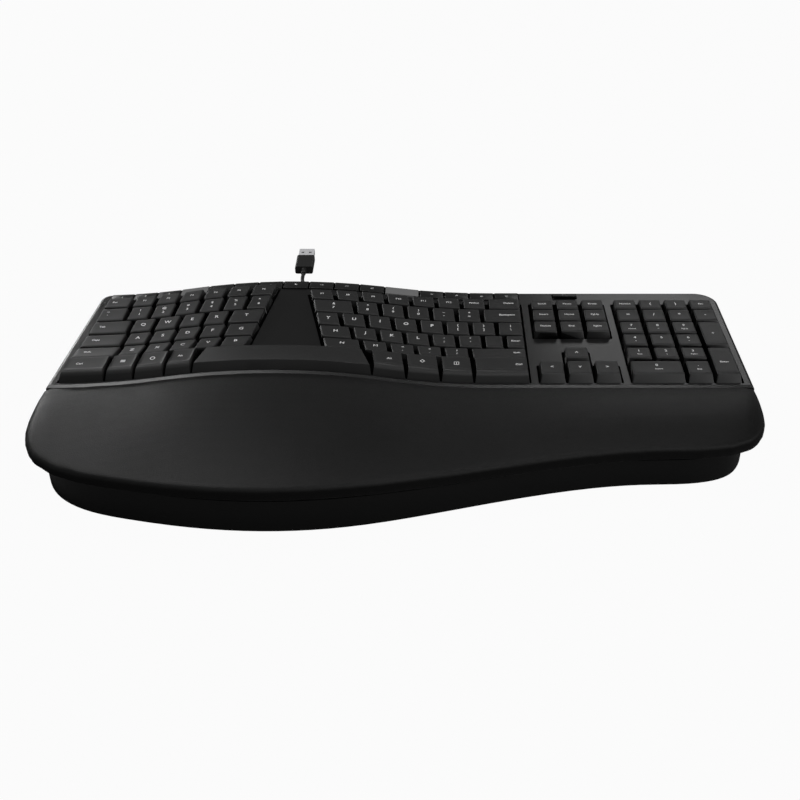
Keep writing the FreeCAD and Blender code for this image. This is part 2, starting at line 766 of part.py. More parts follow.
def main_well(grow):
    """Well round both letter blocks, joined in front of the centre panel by the space bar's channel."""
    front, rear = -grow, FIELD_DEPTH + grow
    channel = ROW_LINES[1] + grow
    outer_left = left_end(0)[0] - grow
    outer_left_back = left_end(rear)[0] - grow
    outer_right = RIGHT_OUTER_X + grow
    inner_left = left_end(channel)[1] + grow
    inner_left_back = left_end(rear)[1] + grow
    inner_right = right_end(channel)[0] - grow
    inner_right_back = right_end(rear)[0] - grow
    f = flat(lambda x: left_y(x, front))
    b_left = flat(lambda x: left_y(x, rear))
    b_right = flat(lambda x: right_y(x, rear))
    c = flat(lambda x: left_y(x, channel))
    edges = humped(f, outer_left, outer_right)
    edges.append(run(f(outer_right), b_right(outer_right)))
    edges += humped(b_right, outer_right, inner_right_back)
    edges.append(run(b_right(inner_right_back), c(inner_right)))
    edges += humped(c, inner_right, inner_left)
    edges.append(run(c(inner_left), b_left(inner_left_back)))
    edges += humped(b_left, inner_left_back, outer_left_back)
    edges.append(run(b_left(outer_left_back), f(outer_left)))
    return well(edges)


def strip_well(grow):
    start = STRIP_START_X - grow
    end = STRIP_START_X + sum(width for _, width in STRIP_CELLS) + grow
    f = flat(lambda x: strip_lines(x)[0] - grow)
    b = flat(lambda x: strip_lines(x)[1] + grow)
    edges = humped(f, start, end) + [run(f(end), b(end))]
    edges += humped(b, end, start) + [run(b(start), f(start))]
    return well(edges)


def rounded_block(x1, x2, v1, v2, radius=1.2):
    solid = block(x1, x2, FIELD_FRONT_Y + v1, FIELD_FRONT_Y + v2, 0, TALL)
    upright = [e for e in solid.Edges if abs(e.Length - TALL) < 0.01]
    return solid.makeFillet(radius, upright)


def wells():
    grow = WELL_CLEARANCE
    pad = rounded_block(PAD_X - grow, PAD_X + 4 * PAD_PITCH + grow, -grow, FIELD_DEPTH + grow)
    nav_right = NAV_X + 3 * NAV_PITCH + grow
    nav = rounded_block(NAV_X - grow, nav_right, NAV_FRONT - grow, FIELD_DEPTH + grow)
    arrows = rounded_block(NAV_X - grow, nav_right, -grow, ROW_LINES[1] + grow)
    up = rounded_block(NAV_X + NAV_PITCH - grow, NAV_X + 2 * NAV_PITCH + grow,
                       ROW_LINES[1] - 4, ROW_LINES[2] + grow)
    middle = NAV_X + 1.5 * NAV_PITCH
    half = CALCULATOR_WIDTH / 2
    calculator = rounded_block(middle - half, middle + half, CALCULATOR_FRONT,
                               CALCULATOR_FRONT + CALCULATOR_DEPTH, 0.6)
    return [main_well(grow), strip_well(0.0), pad, nav, arrows, up, calculator]


def top_case():
    """Deck frame: a humped skin with side walls, rounded outer edges and a well for each group of keys."""
    outer = deck_prism(0, SPLIT_Z, TALL).common(layer(0, TALL))
    rim = []
    for edge in outer.Edges:
        spots = [edge.valueAt(edge.getParameterByLength(edge.Length * k)) for k in (0.25, 0.75)]
        on_deck = all(abs(p.z - deck_z(p.x, p.y)) < 0.05 for p in spots)
        at_seam = all(abs(p.y - seam_y(p.x)) < 0.05 for p in spots)
        if on_deck and not at_seam:
            rim.append(edge)
    outer = outer.makeFillet(EDGE_ROUND, rim)
    inner = deck_prism(WALL, 0, TALL).common(layer(SKIN, TALL))
    shell = outer.cut(inner)
    for pocket in wells():
        shell = shell.cut(pocket)
    side = HALF_WIDTH + 5
    low = DECK_FRONT_Z - FRONT_BEVEL

    def corner(x, forward, lift):
        y = seam_y(x)
        return V(x, y + forward, deck_z(x, y) + lift)

    bevel = curved_strip(lambda x: corner(x, -1, -FRONT_BEVEL), lambda x: corner(x, -1, 2),
                         lambda x: corner(x, FRONT_BEVEL * 2, 2), lambda x: corner(x, FRONT_BEVEL * 2, 0), side)
    shell = shell.cut(bevel)
    bosses = [boss(x, y, FLOOR + FOOT_HEIGHT + 1, TALL) for x, y in DECK_SCREWS]
    for post in bosses:
        post = post.common(layer(SKIN - 0.5, TALL)).cut(block(-TALL * 4, TALL * 4, -TALL * 3, TALL * 3, 0, SPLIT_Z))
        shell = shell.fuse(post)
    for x, y in DECK_SCREWS:
        shell = shell.cut(Part.makeCylinder(SCREW_RADIUS, SPLIT_Z, V(x, y, SPLIT_Z - 1)))
    add("top_case", shell)


def curved_strip(a, b, c, d, side):
    """Long four-sided bar whose edges all follow the hump."""
    wires = [humped(point, -side, side) for point in (a, b, c, d)]
    faces = []
    for i in range(4):
        for first, second in zip(wires[i], wires[(i + 1) % 4]):
            faces.append(Part.makeRuledSurface(first, second))
    for x in (-side, side):
        faces.append(Part.Face(polygon([a(x), b(x), c(x), d(x)])))
    return closed_solid(faces)


def boss(x, y, low, high, radius=BOSS_RADIUS):
    return Part.makeCylinder(radius, high - low, V(x, y, low))


def leg_pocket(side, grow, top):
    """Space for one folded leg, in the underside of the plinth."""
    x = side * LEG_X
    half = LEG_WIDTH / 2 + POCKET_GAP + grow
    front = LEG_HINGE_Y - LEG_BARREL - POCKET_GAP - grow
    rear = LEG_HINGE_Y + LEG_LENGTH + LEG_TIP + POCKET_GAP + grow
    return block(x - half, x + half, front, rear, FOOT_HEIGHT, top)


def bottom_case():
    """Tray under the keys and hollow plinth under the palm rest, with a flange for the top case."""
    low = base_prism(0, FOOT_HEIGHT, SPLIT_Z - SHELL_GAP)
    ahead = ahead_of_seam(SEAM_GAP, 0, TALL)
    plinth_top = CARRIER_BOTTOM - SHELL_GAP
    plinth = base_prism(0, FOOT_HEIGHT, plinth_top).common(ahead)
    rim = base_prism(0, plinth_top - 1, TALL).cut(base_prism(WALL, 0, 2 * TALL))
    rim = rim.common(below_lip(SHELL_GAP)).common(ahead)
    flange = deck_prism(0.4, SPLIT_Z - SHELL_GAP - FLANGE, SPLIT_Z - SHELL_GAP)
    solid = low.fuse([plinth, rim, flange])
    floor_top = FOOT_HEIGHT + FLOOR
    room = base_prism(WALL, floor_top, TALL)
    front_room = room.common(ahead_of_seam(SEAM_GAP + WALL, 0, TALL))
    rear_room = room.cut(ahead_of_seam(SEAM_GAP, 0, TALL))
    solid = solid.cut(front_room).cut(rear_room)
    under_backing = layer(BACKING_BOTTOM + SHELL_GAP, TALL)
    for x, y in DECK_SCREWS:
        post = boss(x, y, floor_top - 0.5, SPLIT_Z - SHELL_GAP)
        solid = solid.fuse(post.common(under_backing))
    for x, y in PALM_SCREWS:
        solid = solid.fuse(boss(x, y, floor_top - 0.5, plinth_top))
    for side in (-1, 1):
        solid = solid.fuse(leg_pocket(side, WALL, POCKET_TOP + WALL))
    for side in (-1, 1):
        solid = solid.cut(leg_pocket(side, 0, POCKET_TOP))
        x = side * LEG_X
        reach = LEG_WIDTH / 2 + POCKET_GAP + WALL + 1
        bore = Part.makeCylinder(PIN_RADIUS + 0.03, 2 * reach, V(x - reach, LEG_HINGE_Y, LEG_HINGE_Z), V(1, 0, 0))
        solid = solid.cut(bore)
    for x in (BOARD_X - BOARD_LENGTH / 2 + 4, BOARD_X + BOARD_LENGTH / 2 - 4):
        solid = solid.fuse(boss(x, BOARD_Y, floor_top - 0.5, BOARD_Z - SHELL_GAP))
    for x, y in FOOT_PLACES:
        solid = solid.cut(Part.makeCylinder(FOOT_RADIUS + 0.2, FOOT_RECESS, V(x, y, FOOT_HEIGHT)))
    for x, y in DECK_SCREWS + PALM_SCREWS:
        solid = solid.cut(Part.makeCylinder(SCREW_RADIUS + 0.2, TALL, V(x, y, 0)))
        solid = solid.cut(Part.makeCylinder(SCREW_HEAD_RADIUS + 0.2, SCREW_HEAD_DEPTH + 0.2, V(x, y, FOOT_HEIGHT)))
    relief_hole = Part.makeCylinder(RELIEF_NECK + 0.1, 20, V(EXIT_X, rear_wall_y(EXIT_X) - 10, EXIT_Z), V(0, 1, 0))
    add("bottom_case", solid.cut(relief_hole))


RELIEF_NECK = 2.6
RELIEF_FLANGE = 3.4
BACKING_BOTTOM = SHEET_TOP + SHEET_THICKNESS + MEMBRANE_THICKNESS + BACKING_THICKNESS + 2 * SHELL_GAP


def rear_wall_y(x):
    return back_y(x, UNDERCUT_BULGE) - BASE_BACK_INSET


def palm_carrier():
    """Hard plate under the cushion, inside the plinth's rim."""
    front, left_end_point, right_end_point = palm_curve(CARRIER_SIDE_INSET, CARRIER_SIDE_INSET, CARRIER_FRONT_INSET)
    back = SEAM_Y + SEAM_BULGE + 10
    left = V(left_end_point.x, back, 0)
    right = V(right_end_point.x, back, 0)
    edges = [front, run(right_end_point, right), run(right, left), run(left, left_end_point)]
    plate = prism(edges, CARRIER_BOTTOM, CARRIER_TOP)
    plate = plate.common(ahead_of_seam(SEAM_GAP, 0, TALL))
    for x, y in PALM_SCREWS:
        plate = plate.cut(Part.makeCylinder(SCREW_RADIUS, TALL, V(x, y, 0)))
    add("palm_rest_carrier", plate)


def palm_section(x, front, step, share):
    """Upright section of the cushion at x: over the rim, down to the carrier, and crowned above."""
    base = lip_z(x) + SHELL_GAP
    inside = HALF_WIDTH - abs(x) > STEP_FROM_END
    floor = CARRIER_TOP + SHELL_GAP if inside else base - 0.05
    full = PALM_TOP + hump(x, PALM_CREST_RISE)
    top = base + (full - base) * share
    rear = seam_y(x)
    rear_top = base + (deck_z(x, rear) - base) * max(share, 0.8)
    beyond = rear + 14
    shoulder = base + min(LIP_HEIGHT, full - base - 1) * share
    nose = base + 0.4 * (shoulder - base)
    under, roll = LIP_UNDER * share, LIP_ROUND * share
    crown = front + (rear - front) * 0.46

    def p(y, z):
        return V(x, y, z)

    def arc(*points):
        return Part.Arc(*points).toShape()

    heel, tip, brow, back = p(front + under, base), p(front, nose), p(front + roll, shoulder), p(rear, rear_top)
    edges = [
        arc(heel, p(front + under * 0.25, base + (nose - base) * 0.34), tip),
        arc(tip, p(front + roll * 0.24, nose + (shoulder - nose) * 0.68), brow),
        arc(brow, p(crown, top), back),
        run(back, p(beyond, rear_top - 0.5)),
        run(p(beyond, rear_top - 0.5), p(beyond, floor)),
        run(p(beyond, floor), p(step, floor)),
        run(p(step, floor), p(step, base)),
        run(p(step, base), heel),
    ]
    return Part.Wire(edges)


def palm_pad():
    """Cushion with a crowned top, a rolled lip and rounded ends, through close upright sections."""
    curve = palm_curve(0, 0, 0)[0]
    rim_inside = palm_curve(PLINTH_LEFT_INSET + WALL, PLINTH_RIGHT_INSET + WALL, PLINTH_FRONT_INSET + WALL)[0]
    plain = HALF_WIDTH - PALM_ENDS[-1][0]
    stations = [(-HALF_WIDTH + d, share) for d, share in PALM_ENDS]
    step = 2 * plain / (PALM_SECTIONS + 1)
    stations += [(-plain + step * (k + 1), 1.0) for k in range(PALM_SECTIONS)]
    stations += [(HALF_WIDTH - d, share) for d, share in reversed(PALM_ENDS)]

    def forward_of(line, x):
        upright = run(V(x, -2 * TALL, 0), V(x, 0, 0))
        return line.distToShape(upright)[1][0][0].y

    wires = []
    for x, share in stations:
        reach = HALF_WIDTH - STEP_FROM_END + 0.6
        over = max(-reach, min(reach, x))
        wires.append(palm_section(x, forward_of(curve, x), forward_of(rim_inside, over) + SEAM_GAP, share))
    pad = Part.makeLoft(wires, True, True)
    add("palm_rest_pad", pad.common(ahead_of_seam(SEAM_GAP, 0, TALL)))


def openings_for_screws(radius):
    return [Part.makeCylinder(radius, TALL, V(x, y, 0)) for x, y in DECK_SCREWS]


def key_guide_frame():
    """Curved plate with one square hole for every key post."""
    plate = deck_prism(WALL + 0.6, 0, TALL).common(layer(GUIDE_TOP, GUIDE_TOP + GUIDE_THICKNESS))
    holes = []
    for foot, across, uphill, normal, half in post_places:
        reach = half + POST_CLEARANCE
        corners = [foot + across * (sx * reach) + uphill * (sy * reach) - normal
                   for sx, sy in ((-1, -1), (1, -1), (1, 1), (-1, 1))]
        holes.append(Part.Face(polygon(corners)).extrude(normal * (GUIDE_THICKNESS + 3)))
    plate = plate.cut(Part.makeCompound(holes))
    for hole in openings_for_screws(BOSS_RADIUS + 0.4):
        plate = plate.cut(hole)
    add("key_guide_frame", plate)


def under_layers():
    """Rubber dome sheet, printed membrane and backing plate, each on the one below."""
    keep = deck_prism(LAYER_INSET, 0, TALL)
    shelf = deck_prism(0, 0, SPLIT_Z + 0.3)
    keep = keep.cut(shelf.cut(base_prism(WALL + 0.4, 0, TALL)))
    for hole in openings_for_screws(BOSS_RADIUS + 0.6):
        keep = keep.cut(hole)
    depth = SHEET_TOP
    sheet = keep.common(layer(depth, depth + SHEET_THICKNESS))
    domes = []
    for centre, across, uphill, normal, small in dome_places:
        foot, head = (STRIP_DOME_FOOT, STRIP_DOME_HEAD) if small else (DOME_FOOT, DOME_HEAD)
        rings = []
        for size, level in ((foot, SHEET_TOP + SHEET_THICKNESS / 2), (head, POST_DEPTH + DOME_GAP)):
            rings.append([centre - normal * level + across * (size / 2 * sx) + uphill * (size / 2 * sy)
                          for sx, sy in ((-1, -0.5), (-0.5, -1), (0.5, -1), (1, -0.5),
                                         (1, 0.5), (0.5, 1), (-0.5, 1), (-1, 0.5))])
        faces = [Part.Face(polygon(rings[0])), Part.Face(polygon(rings[1]))]
        for i in range(8):
            j = (i + 1) % 8
            faces.append(Part.Face(polygon([rings[0][i], rings[0][j], rings[1][j], rings[1][i]])))
        domes.append(closed_solid(faces))
    domes = Part.makeCompound(domes).cut(shelf.cut(base_prism(WALL + 0.2, 0, TALL)))
    add("rubber_dome_sheet", sheet.fuse(domes.Solids))
    depth += SHEET_THICKNESS + SHELL_GAP
    add("membrane_sheet", keep.common(layer(depth, depth + MEMBRANE_THICKNESS)))
    depth += MEMBRANE_THICKNESS + SHELL_GAP
    add("backing_plate", keep.common(layer(depth, depth + BACKING_THICKNESS)))


def small_parts():
    """Feet, screws and the controller board."""
    for x, y in FOOT_PLACES:
        foot = Part.makeCylinder(FOOT_RADIUS, FOOT_HEIGHT + FOOT_RECESS - SHELL_GAP, V(x, y, 0))
        add("rubber_feet", foot.makeFillet(0.5, [foot.Edges[2]]))
    for x, y in DECK_SCREWS + PALM_SCREWS:
        head_z = FOOT_HEIGHT + SCREW_HEAD_DEPTH - 0.8
        top = SPLIT_Z + 5 if (x, y) in DECK_SCREWS else CARRIER_TOP - 0.3
        head = Part.makeCylinder(SCREW_HEAD_RADIUS, 1.0, V(x, y, head_z))
        shank = Part.makeCylinder(SCREW_RADIUS - 0.1, top - head_z, V(x, y, head_z))
        add("case_screws", head.fuse(shank))
    board = block(BOARD_X - BOARD_LENGTH / 2, BOARD_X + BOARD_LENGTH / 2, BOARD_Y - BOARD_DEPTH / 2,
                  BOARD_Y + BOARD_DEPTH / 2, BOARD_Z, BOARD_Z + BOARD_THICKNESS)
    chip = block(BOARD_X - 5, BOARD_X + 5, BOARD_Y - 5, BOARD_Y + 5, BOARD_Z + 1, BOARD_Z + BOARD_THICKNESS + 1.2)
    socket = block(BOARD_X - 26, BOARD_X - 14, BOARD_Y + 4, BOARD_Y + 10, BOARD_Z + 1, BOARD_Z + BOARD_THICKNESS + 3)
    add("controller_board", board.fuse([chip, socket]))


def legs():
    """Two legs that fold out from under the palm rest, each on its own pin, with a rubber tip."""
    for side, name in ((-1, "left"), (1, "right")):
        x = side * LEG_X
        half = LEG_WIDTH / 2
        bottom = LEG_HINGE_Z - LEG_THICKNESS / 2
        plate = block(x - half, x + half, LEG_HINGE_Y, LEG_HINGE_Y + LEG_LENGTH,
                      bottom, bottom + LEG_THICKNESS)
        corners = [e for e in plate.Edges if abs(e.Length - LEG_THICKNESS) < 0.01
                   and e.CenterOfMass.y > LEG_HINGE_Y + LEG_LENGTH / 2]
        plate = plate.makeFillet(2.5, corners)
        notch = block(x - 8, x + 8, LEG_HINGE_Y + LEG_LENGTH - 7, LEG_HINGE_Y + LEG_LENGTH - 3,
                      bottom - 1, bottom + 1.2)
        barrel = Part.makeCylinder(LEG_BARREL, LEG_WIDTH, V(x - half, LEG_HINGE_Y, LEG_HINGE_Z), V(1, 0, 0))
        bore = Part.makeCylinder(PIN_RADIUS + PIN_CLEARANCE, LEG_WIDTH + 2,
                                 V(x - half - 1, LEG_HINGE_Y, LEG_HINGE_Z), V(1, 0, 0))
        add("tilt_leg_" + name, plate.fuse(barrel).cut(bore).cut(notch))
        tip_y = LEG_HINGE_Y + LEG_LENGTH + 0.05
        tip = block(x - half + 6, x + half - 6, tip_y, tip_y + LEG_TIP - 0.3,
                    bottom + 0.3, bottom + LEG_THICKNESS - 0.3)
        add("tilt_leg_tip_" + name, tip)
        reach = half + POCKET_GAP + WALL - 0.4
        pin = Part.makeCylinder(PIN_RADIUS, 2 * reach, V(x - reach, LEG_HINGE_Y, LEG_HINGE_Z), V(1, 0, 0))
        add("tilt_leg_pins", pin)


def cord_tube(wire, start, heading):
    """Eight-sided cord swept along a wire from a start point and heading."""
    side = heading.cross(V(0, 0, 1)).normalize()
    up = side.cross(heading).normalize()
    ring = []
    for k in range(8):
        turn = math.radians(22.5 + 45 * k)
        ring.append(start + side * (CORD_RADIUS * math.cos(turn)) + up * (CORD_RADIUS * math.sin(turn)))
    shell = Part.BRepOffsetAPI.MakePipeShell(wire)
    shell.add(polygon(ring))
    shell.build()
    shell.makeSolid()
    return shell.shape()


def rounded_path(points):
    """Straight runs joined by tangent arcs, each as large as its two runs allow."""
    points = [V(*p) for p in points]
    edges = []
    radii = []
    last = points[0]
    for before, corner, after in zip(points, points[1:], points[2:]):
        into, out = corner - before, after - corner
        turn = into.getAngle(out)
        cut = 0.45 * min(into.Length, out.Length)
        radii.append(cut / math.tan(turn / 2))
        into.normalize()
        out.normalize()
        a, b = corner - into * cut, corner + out * cut
        bulge = (out - into).normalize()
        centre_gap = radii[-1] / math.cos(turn / 2) - radii[-1]
        m = corner + bulge * centre_gap
        edges.append(run(last, a))
        edges.append(Part.Arc(a, m, b).toShape())
        last = b
    edges.append(run(last, points[-1]))
    return Part.Wire(edges), min(radii)


EXIT_ROUTE = (
    (EXIT_X, 120.1, EXIT_Z), (EXIT_X, 124.0, 4.6), (-196.6, 129.8, 3.6), (-189.6, 132.6, 2.6),
    (-180.0, 131.0, 2.0), (-168.5, 124.4, 2.0), (-157.5, 119.6, 2.0), (-149.5, 118.65, 2.0),
    (-146.0, 118.65, 2.0),
)
PLUG_ROUTE = (
    (-62.0, 145.85, 5.4), (-70.0, 145.85, 5.2), (-76.8, 148.2, 4.7), (-80.0, 153.4, 4.1),
    (-81.0, 160.0, 3.4), (-81.0, 165.0, 3.25), (-81.0, 168.4, 3.25),
)


def hank_path():
    """Race-track spiral: inwards on the desk, up along one run, then outwards on top."""
    half = HANK_RUN / 2
    offset = HANK_FOLD + HANK_PITCH * (TURNS_BELOW - 1) - HANK_PITCH / 4 + HANK_PITCH / 2
    edges = []
    z = HANK_Z
    steps = 2 * TURNS_BELOW
    edges.append(run(V(HANK_X - half, HANK_Y - offset, z), V(HANK_X + half, HANK_Y - offset, z)))
    near = True
    folds = []
    for k in range(2 * TURNS_BELOW + 3):
        following = offset + HANK_PITCH / 2 * (-1 if k < steps - 1 else 1)
        sign = 1 if near else -1
        start = V(HANK_X + sign * half, HANK_Y - sign * offset, z)
        end = V(HANK_X + sign * half, HANK_Y + sign * following, z)
        radius = (offset + following) / 2
        folds.append(radius)
        middle = V(HANK_X + sign * (half + radius), (start.y + end.y) / 2, z)
        edges.append(Part.Arc(start, middle, end).toShape())
        if k == 2 * TURNS_BELOW + 2:
            break
        goal = V(HANK_X - sign * half, end.y, z)
        if k == steps - 2:
            rise = HANK_PITCH
            mid = (end + goal) * 0.5 + V(0, 0, rise / 2)
            a = end + (goal - end) * 0.1
            b = goal - (goal - end) * 0.1 + V(0, 0, rise)
            sag = (mid - a).x ** 2
            radius_up = (sag + (rise / 2) ** 2) / rise
            edges.append(run(end, a))
            edges.append(rising_arc(a, mid, radius_up, 1))
            edges.append(rising_arc(mid, b, radius_up, -1))
            goal = goal + V(0, 0, rise)
            edges.append(run(b, goal))
            z += rise
        else:
            edges.append(run(end, goal))
        offset = following
        near = not near
    return Part.Wire(edges), folds, edges


def rising_arc(a, b, radius, sign):
    """Arc in an upright plane, level at a when sign is 1 and level at b when it is -1."""
    level = a if sign == 1 else b
    centre = level + V(0, 0, sign * radius)
    middle = (a + b) * 0.5 - centre
    middle.normalize()
    return Part.Arc(a, centre + middle * radius, b).toShape()


def cable():
    """Strain relief, exit lead, tied hank, lead to the plug and the plug itself."""
    wall_y = rear_wall_y(EXIT_X)
    relief = Part.makeCone(RELIEF_NECK, CORD_RADIUS + 0.5, RELIEF_LENGTH, V(EXIT_X, wall_y + SHELL_GAP, EXIT_Z), V(0, 1, 0))
    print("strain relief ends at y", round(wall_y + SHELL_GAP + RELIEF_LENGTH, 2))
    add("cable_strain_relief", relief)
    route, tightest = rounded_path(EXIT_ROUTE)
    lead = cord_tube(route, V(*EXIT_ROUTE[0]), V(0, 1, 0))
    add("cable_exit_lead", lead)
    print("exit lead", round(route.Length, 1), "tightest arc", round(tightest, 1))
    wire, folds, edges = hank_path()
    first = wire.OrderedVertexes[0].Point
    hank = cord_tube(wire, first, V(1, 0, 0))
    add("cable_hank", hank)
    print("hank", round(wire.Length, 1), "folds", [round(f, 1) for f in folds])
    print("hank starts", first, "ends", wire.OrderedVertexes[-1].Point)
    print("hank least gap", round(least_gap(edges), 2))
    route, tightest = rounded_path(PLUG_ROUTE)
    lead = cord_tube(route, V(*PLUG_ROUTE[0]), V(-1, 0, 0))
    add("cable_plug_lead", lead)
    print("plug lead", round(route.Length, 1), "tightest arc", round(tightest, 1))
    tie_and_plug()


def least_gap(edges):
    """Smallest clear distance between stretches of the hank that aren't neighbours."""
    marks = []
    along = 0.0
    for edge in edges:
        count = max(2, int(edge.Length / 2.5))
        for k in range(count):
            step = edge.Length * k / count
            marks.append((along + step, edge.valueAt(edge.getParameterByLength(step))))
        along += edge.Length
    apart = HANK_FOLD * math.pi
    best = min(p.distanceToPoint(q) for i, (s, p) in enumerate(marks)
               for t, q in marks[i + 1:] if t - s > apart)
    return best - CORD_DIAMETER


def tie_and_plug():
    reach = HANK_FOLD + HANK_PITCH * (TURNS_BELOW - 1) + HANK_PITCH / 4 + CORD_RADIUS
    low = HANK_Z - CORD_RADIUS - TIE_CLEARANCE
    high = HANK_Z + HANK_PITCH + CORD_RADIUS + TIE_CLEARANCE
    inner = block(HANK_X - TIE_WIDTH, HANK_X + TIE_WIDTH, HANK_Y - reach - TIE_CLEARANCE,
                  HANK_Y + reach + TIE_CLEARANCE, low, high)
    outer = block(HANK_X - TIE_WIDTH / 2, HANK_X + TIE_WIDTH / 2,
                  HANK_Y - reach - TIE_CLEARANCE - TIE_THICKNESS, HANK_Y + reach + TIE_CLEARANCE + TIE_THICKNESS,
                  low - TIE_THICKNESS, high + TIE_THICKNESS)
    upright = [e for e in outer.Edges if abs(e.Length - TIE_WIDTH) < 0.01]
    add("cable_tie", outer.makeFillet(TIE_THICKNESS, upright).cut(inner))
    rear, x, z = PLUG_REAR_Y, PLUG_X, PLUG_Z
    tail_y = PLUG_ROUTE[-1][1]
    tail = Part.makeCone(CORD_RADIUS + 0.4, 2.6, rear - tail_y, V(x, tail_y, z), V(0, 1, 0))
    grip = block(x - GRIP_WIDTH / 2, x + GRIP_WIDTH / 2, rear, rear + GRIP_LENGTH,
                 z - GRIP_THICKNESS / 2, z + GRIP_THICKNESS / 2)
    along = [e for e in grip.Edges if abs(e.Length - GRIP_LENGTH) < 0.01]
    grip = grip.makeFillet(1.6, along)
    add("plug_overmould", grip.fuse(tail))
    front = rear + GRIP_LENGTH + 0.02
    outer = block(x - SHELL_WIDTH / 2, x + SHELL_WIDTH / 2, front, front + SHELL_LENGTH,
                  z - SHELL_THICKNESS / 2, z + SHELL_THICKNESS / 2)
    inner = block(x - SHELL_WIDTH / 2 + SHELL_WALL, x + SHELL_WIDTH / 2 - SHELL_WALL, front + 1,
                  front + SHELL_LENGTH + 1, z - SHELL_THICKNESS / 2 + SHELL_WALL,
                  z + SHELL_THICKNESS / 2 - SHELL_WALL)
    shell = outer.cut(inner)
    for sx in (-1, 1):
        window = block(x + sx * 2.9 - 1.1, x + sx * 2.9 + 1.1, front + 5.0, front + 7.2, z, z + SHELL_THICKNESS)
        shell = shell.cut(window)
    add("plug_shell", shell)
    tongue = block(x - SHELL_WIDTH / 2 + SHELL_WALL + 0.05, x + SHELL_WIDTH / 2 - SHELL_WALL - 0.05,
                   front + 1.02, front + SHELL_LENGTH - 0.4,
                   z - SHELL_THICKNESS / 2 + SHELL_WALL + 0.05,
                   z - SHELL_THICKNESS / 2 + SHELL_WALL + 0.05 + TONGUE_THICKNESS)
    add("plug_tongue", tongue)


def main():
    left_block()
    space_bar()
    right_block()
    navigation()
    number_pad()
    strip()
    top_case()
    bottom_case()
    palm_carrier()
    palm_pad()
    key_guide_frame()
    under_layers()
    small_parts()
    legs()
    cable()
    os.makedirs("parts", exist_ok=True)
    for name, solids in nodes.items():
        shape = solids[0] if len(solids) == 1 else Part.makeCompound(solids)
        if not shape.isValid():
            print("not valid:", name)
        shape.exportStep("parts/" + name + ".step")
    print(len(nodes), "nodes,", sum(len(s.Solids) for group in nodes.values() for s in group), "solids")


main()
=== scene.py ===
# %% [markdown]
# # A humped ergonomic keyboard
# This lesson dresses a finished CAD model of a wired ergonomic keyboard. The CAD
# solids give every size and place. Here they get rounded keycaps, printed legends,
# a soft palm rest, a smooth cable and materials. Each cell adds one piece or finish.

# %% Load the frame
import math
from collections import namedtuple

import bmesh
import bpy
from mathutils import Matrix, Vector
from mathutils.bvhtree import BVHTree


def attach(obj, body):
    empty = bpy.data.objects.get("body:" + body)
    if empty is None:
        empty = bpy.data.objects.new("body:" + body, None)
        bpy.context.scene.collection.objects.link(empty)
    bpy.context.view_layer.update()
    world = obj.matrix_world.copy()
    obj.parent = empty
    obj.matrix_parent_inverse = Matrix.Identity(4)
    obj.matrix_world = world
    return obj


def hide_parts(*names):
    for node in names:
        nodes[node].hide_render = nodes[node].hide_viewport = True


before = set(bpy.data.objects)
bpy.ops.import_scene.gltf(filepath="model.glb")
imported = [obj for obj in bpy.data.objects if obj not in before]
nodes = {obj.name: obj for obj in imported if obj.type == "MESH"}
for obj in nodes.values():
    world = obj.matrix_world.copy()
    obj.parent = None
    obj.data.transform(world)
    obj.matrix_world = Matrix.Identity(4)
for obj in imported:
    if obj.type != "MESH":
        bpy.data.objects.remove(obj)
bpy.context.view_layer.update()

MM = 0.001

# %% [markdown]
# ## Camera
# A product picture like this one is taken from in front and above with a normal
# lens. The picture was cropped afterwards, so the optical centre lies a little off
# the middle. Turning the camera would tilt the keyboard's lines, so the camera's
# shift moves the centre instead.

# %% Camera
IMAGE_SIZE = 800
FOCAL_PIXELS = 1203.5
OPTICAL_CENTRE = (437.0, 395.0)
CAMERA_PLACE = (0.0239, -0.6578, 0.4698)
CAMERA_PITCH = 35.2
SENSOR_WIDTH = 36.0
NEAREST_SEEN = 0.01

camera_data = bpy.data.cameras.new("camera")
camera_data.sensor_width = SENSOR_WIDTH
camera_data.lens = FOCAL_PIXELS / IMAGE_SIZE * SENSOR_WIDTH
camera_data.shift_x = (IMAGE_SIZE / 2 - OPTICAL_CENTRE[0]) / IMAGE_SIZE
camera_data.shift_y = (OPTICAL_CENTRE[1] - IMAGE_SIZE / 2) / IMAGE_SIZE
camera_data.clip_start = NEAREST_SEEN
camera = bpy.data.objects.new("camera", camera_data)
camera.location = CAMERA_PLACE
camera.rotation_euler = (math.radians(90 - CAMERA_PITCH), 0, 0)
scene = bpy.context.scene
scene.collection.objects.link(camera)
scene.camera = camera
scene.view_settings.view_transform = "Standard"
print("lens", round(camera_data.lens, 1), "mm")

# %% [markdown]
# ## Shader maths in Python
# A procedural material is a small formula. Adding Math nodes one by one hides it, so
# this class wraps a socket and lets Python's own operators add the nodes. Each
# material is then read as an expression.


# %% A socket that Python can calculate with
def feed(tree, socket, value):
    """Links a value to a socket, or sets the socket to a plain number or colour."""
    if isinstance(value, Value):
        tree.links.new(value.socket, socket)
    else:
        socket.default_value = value


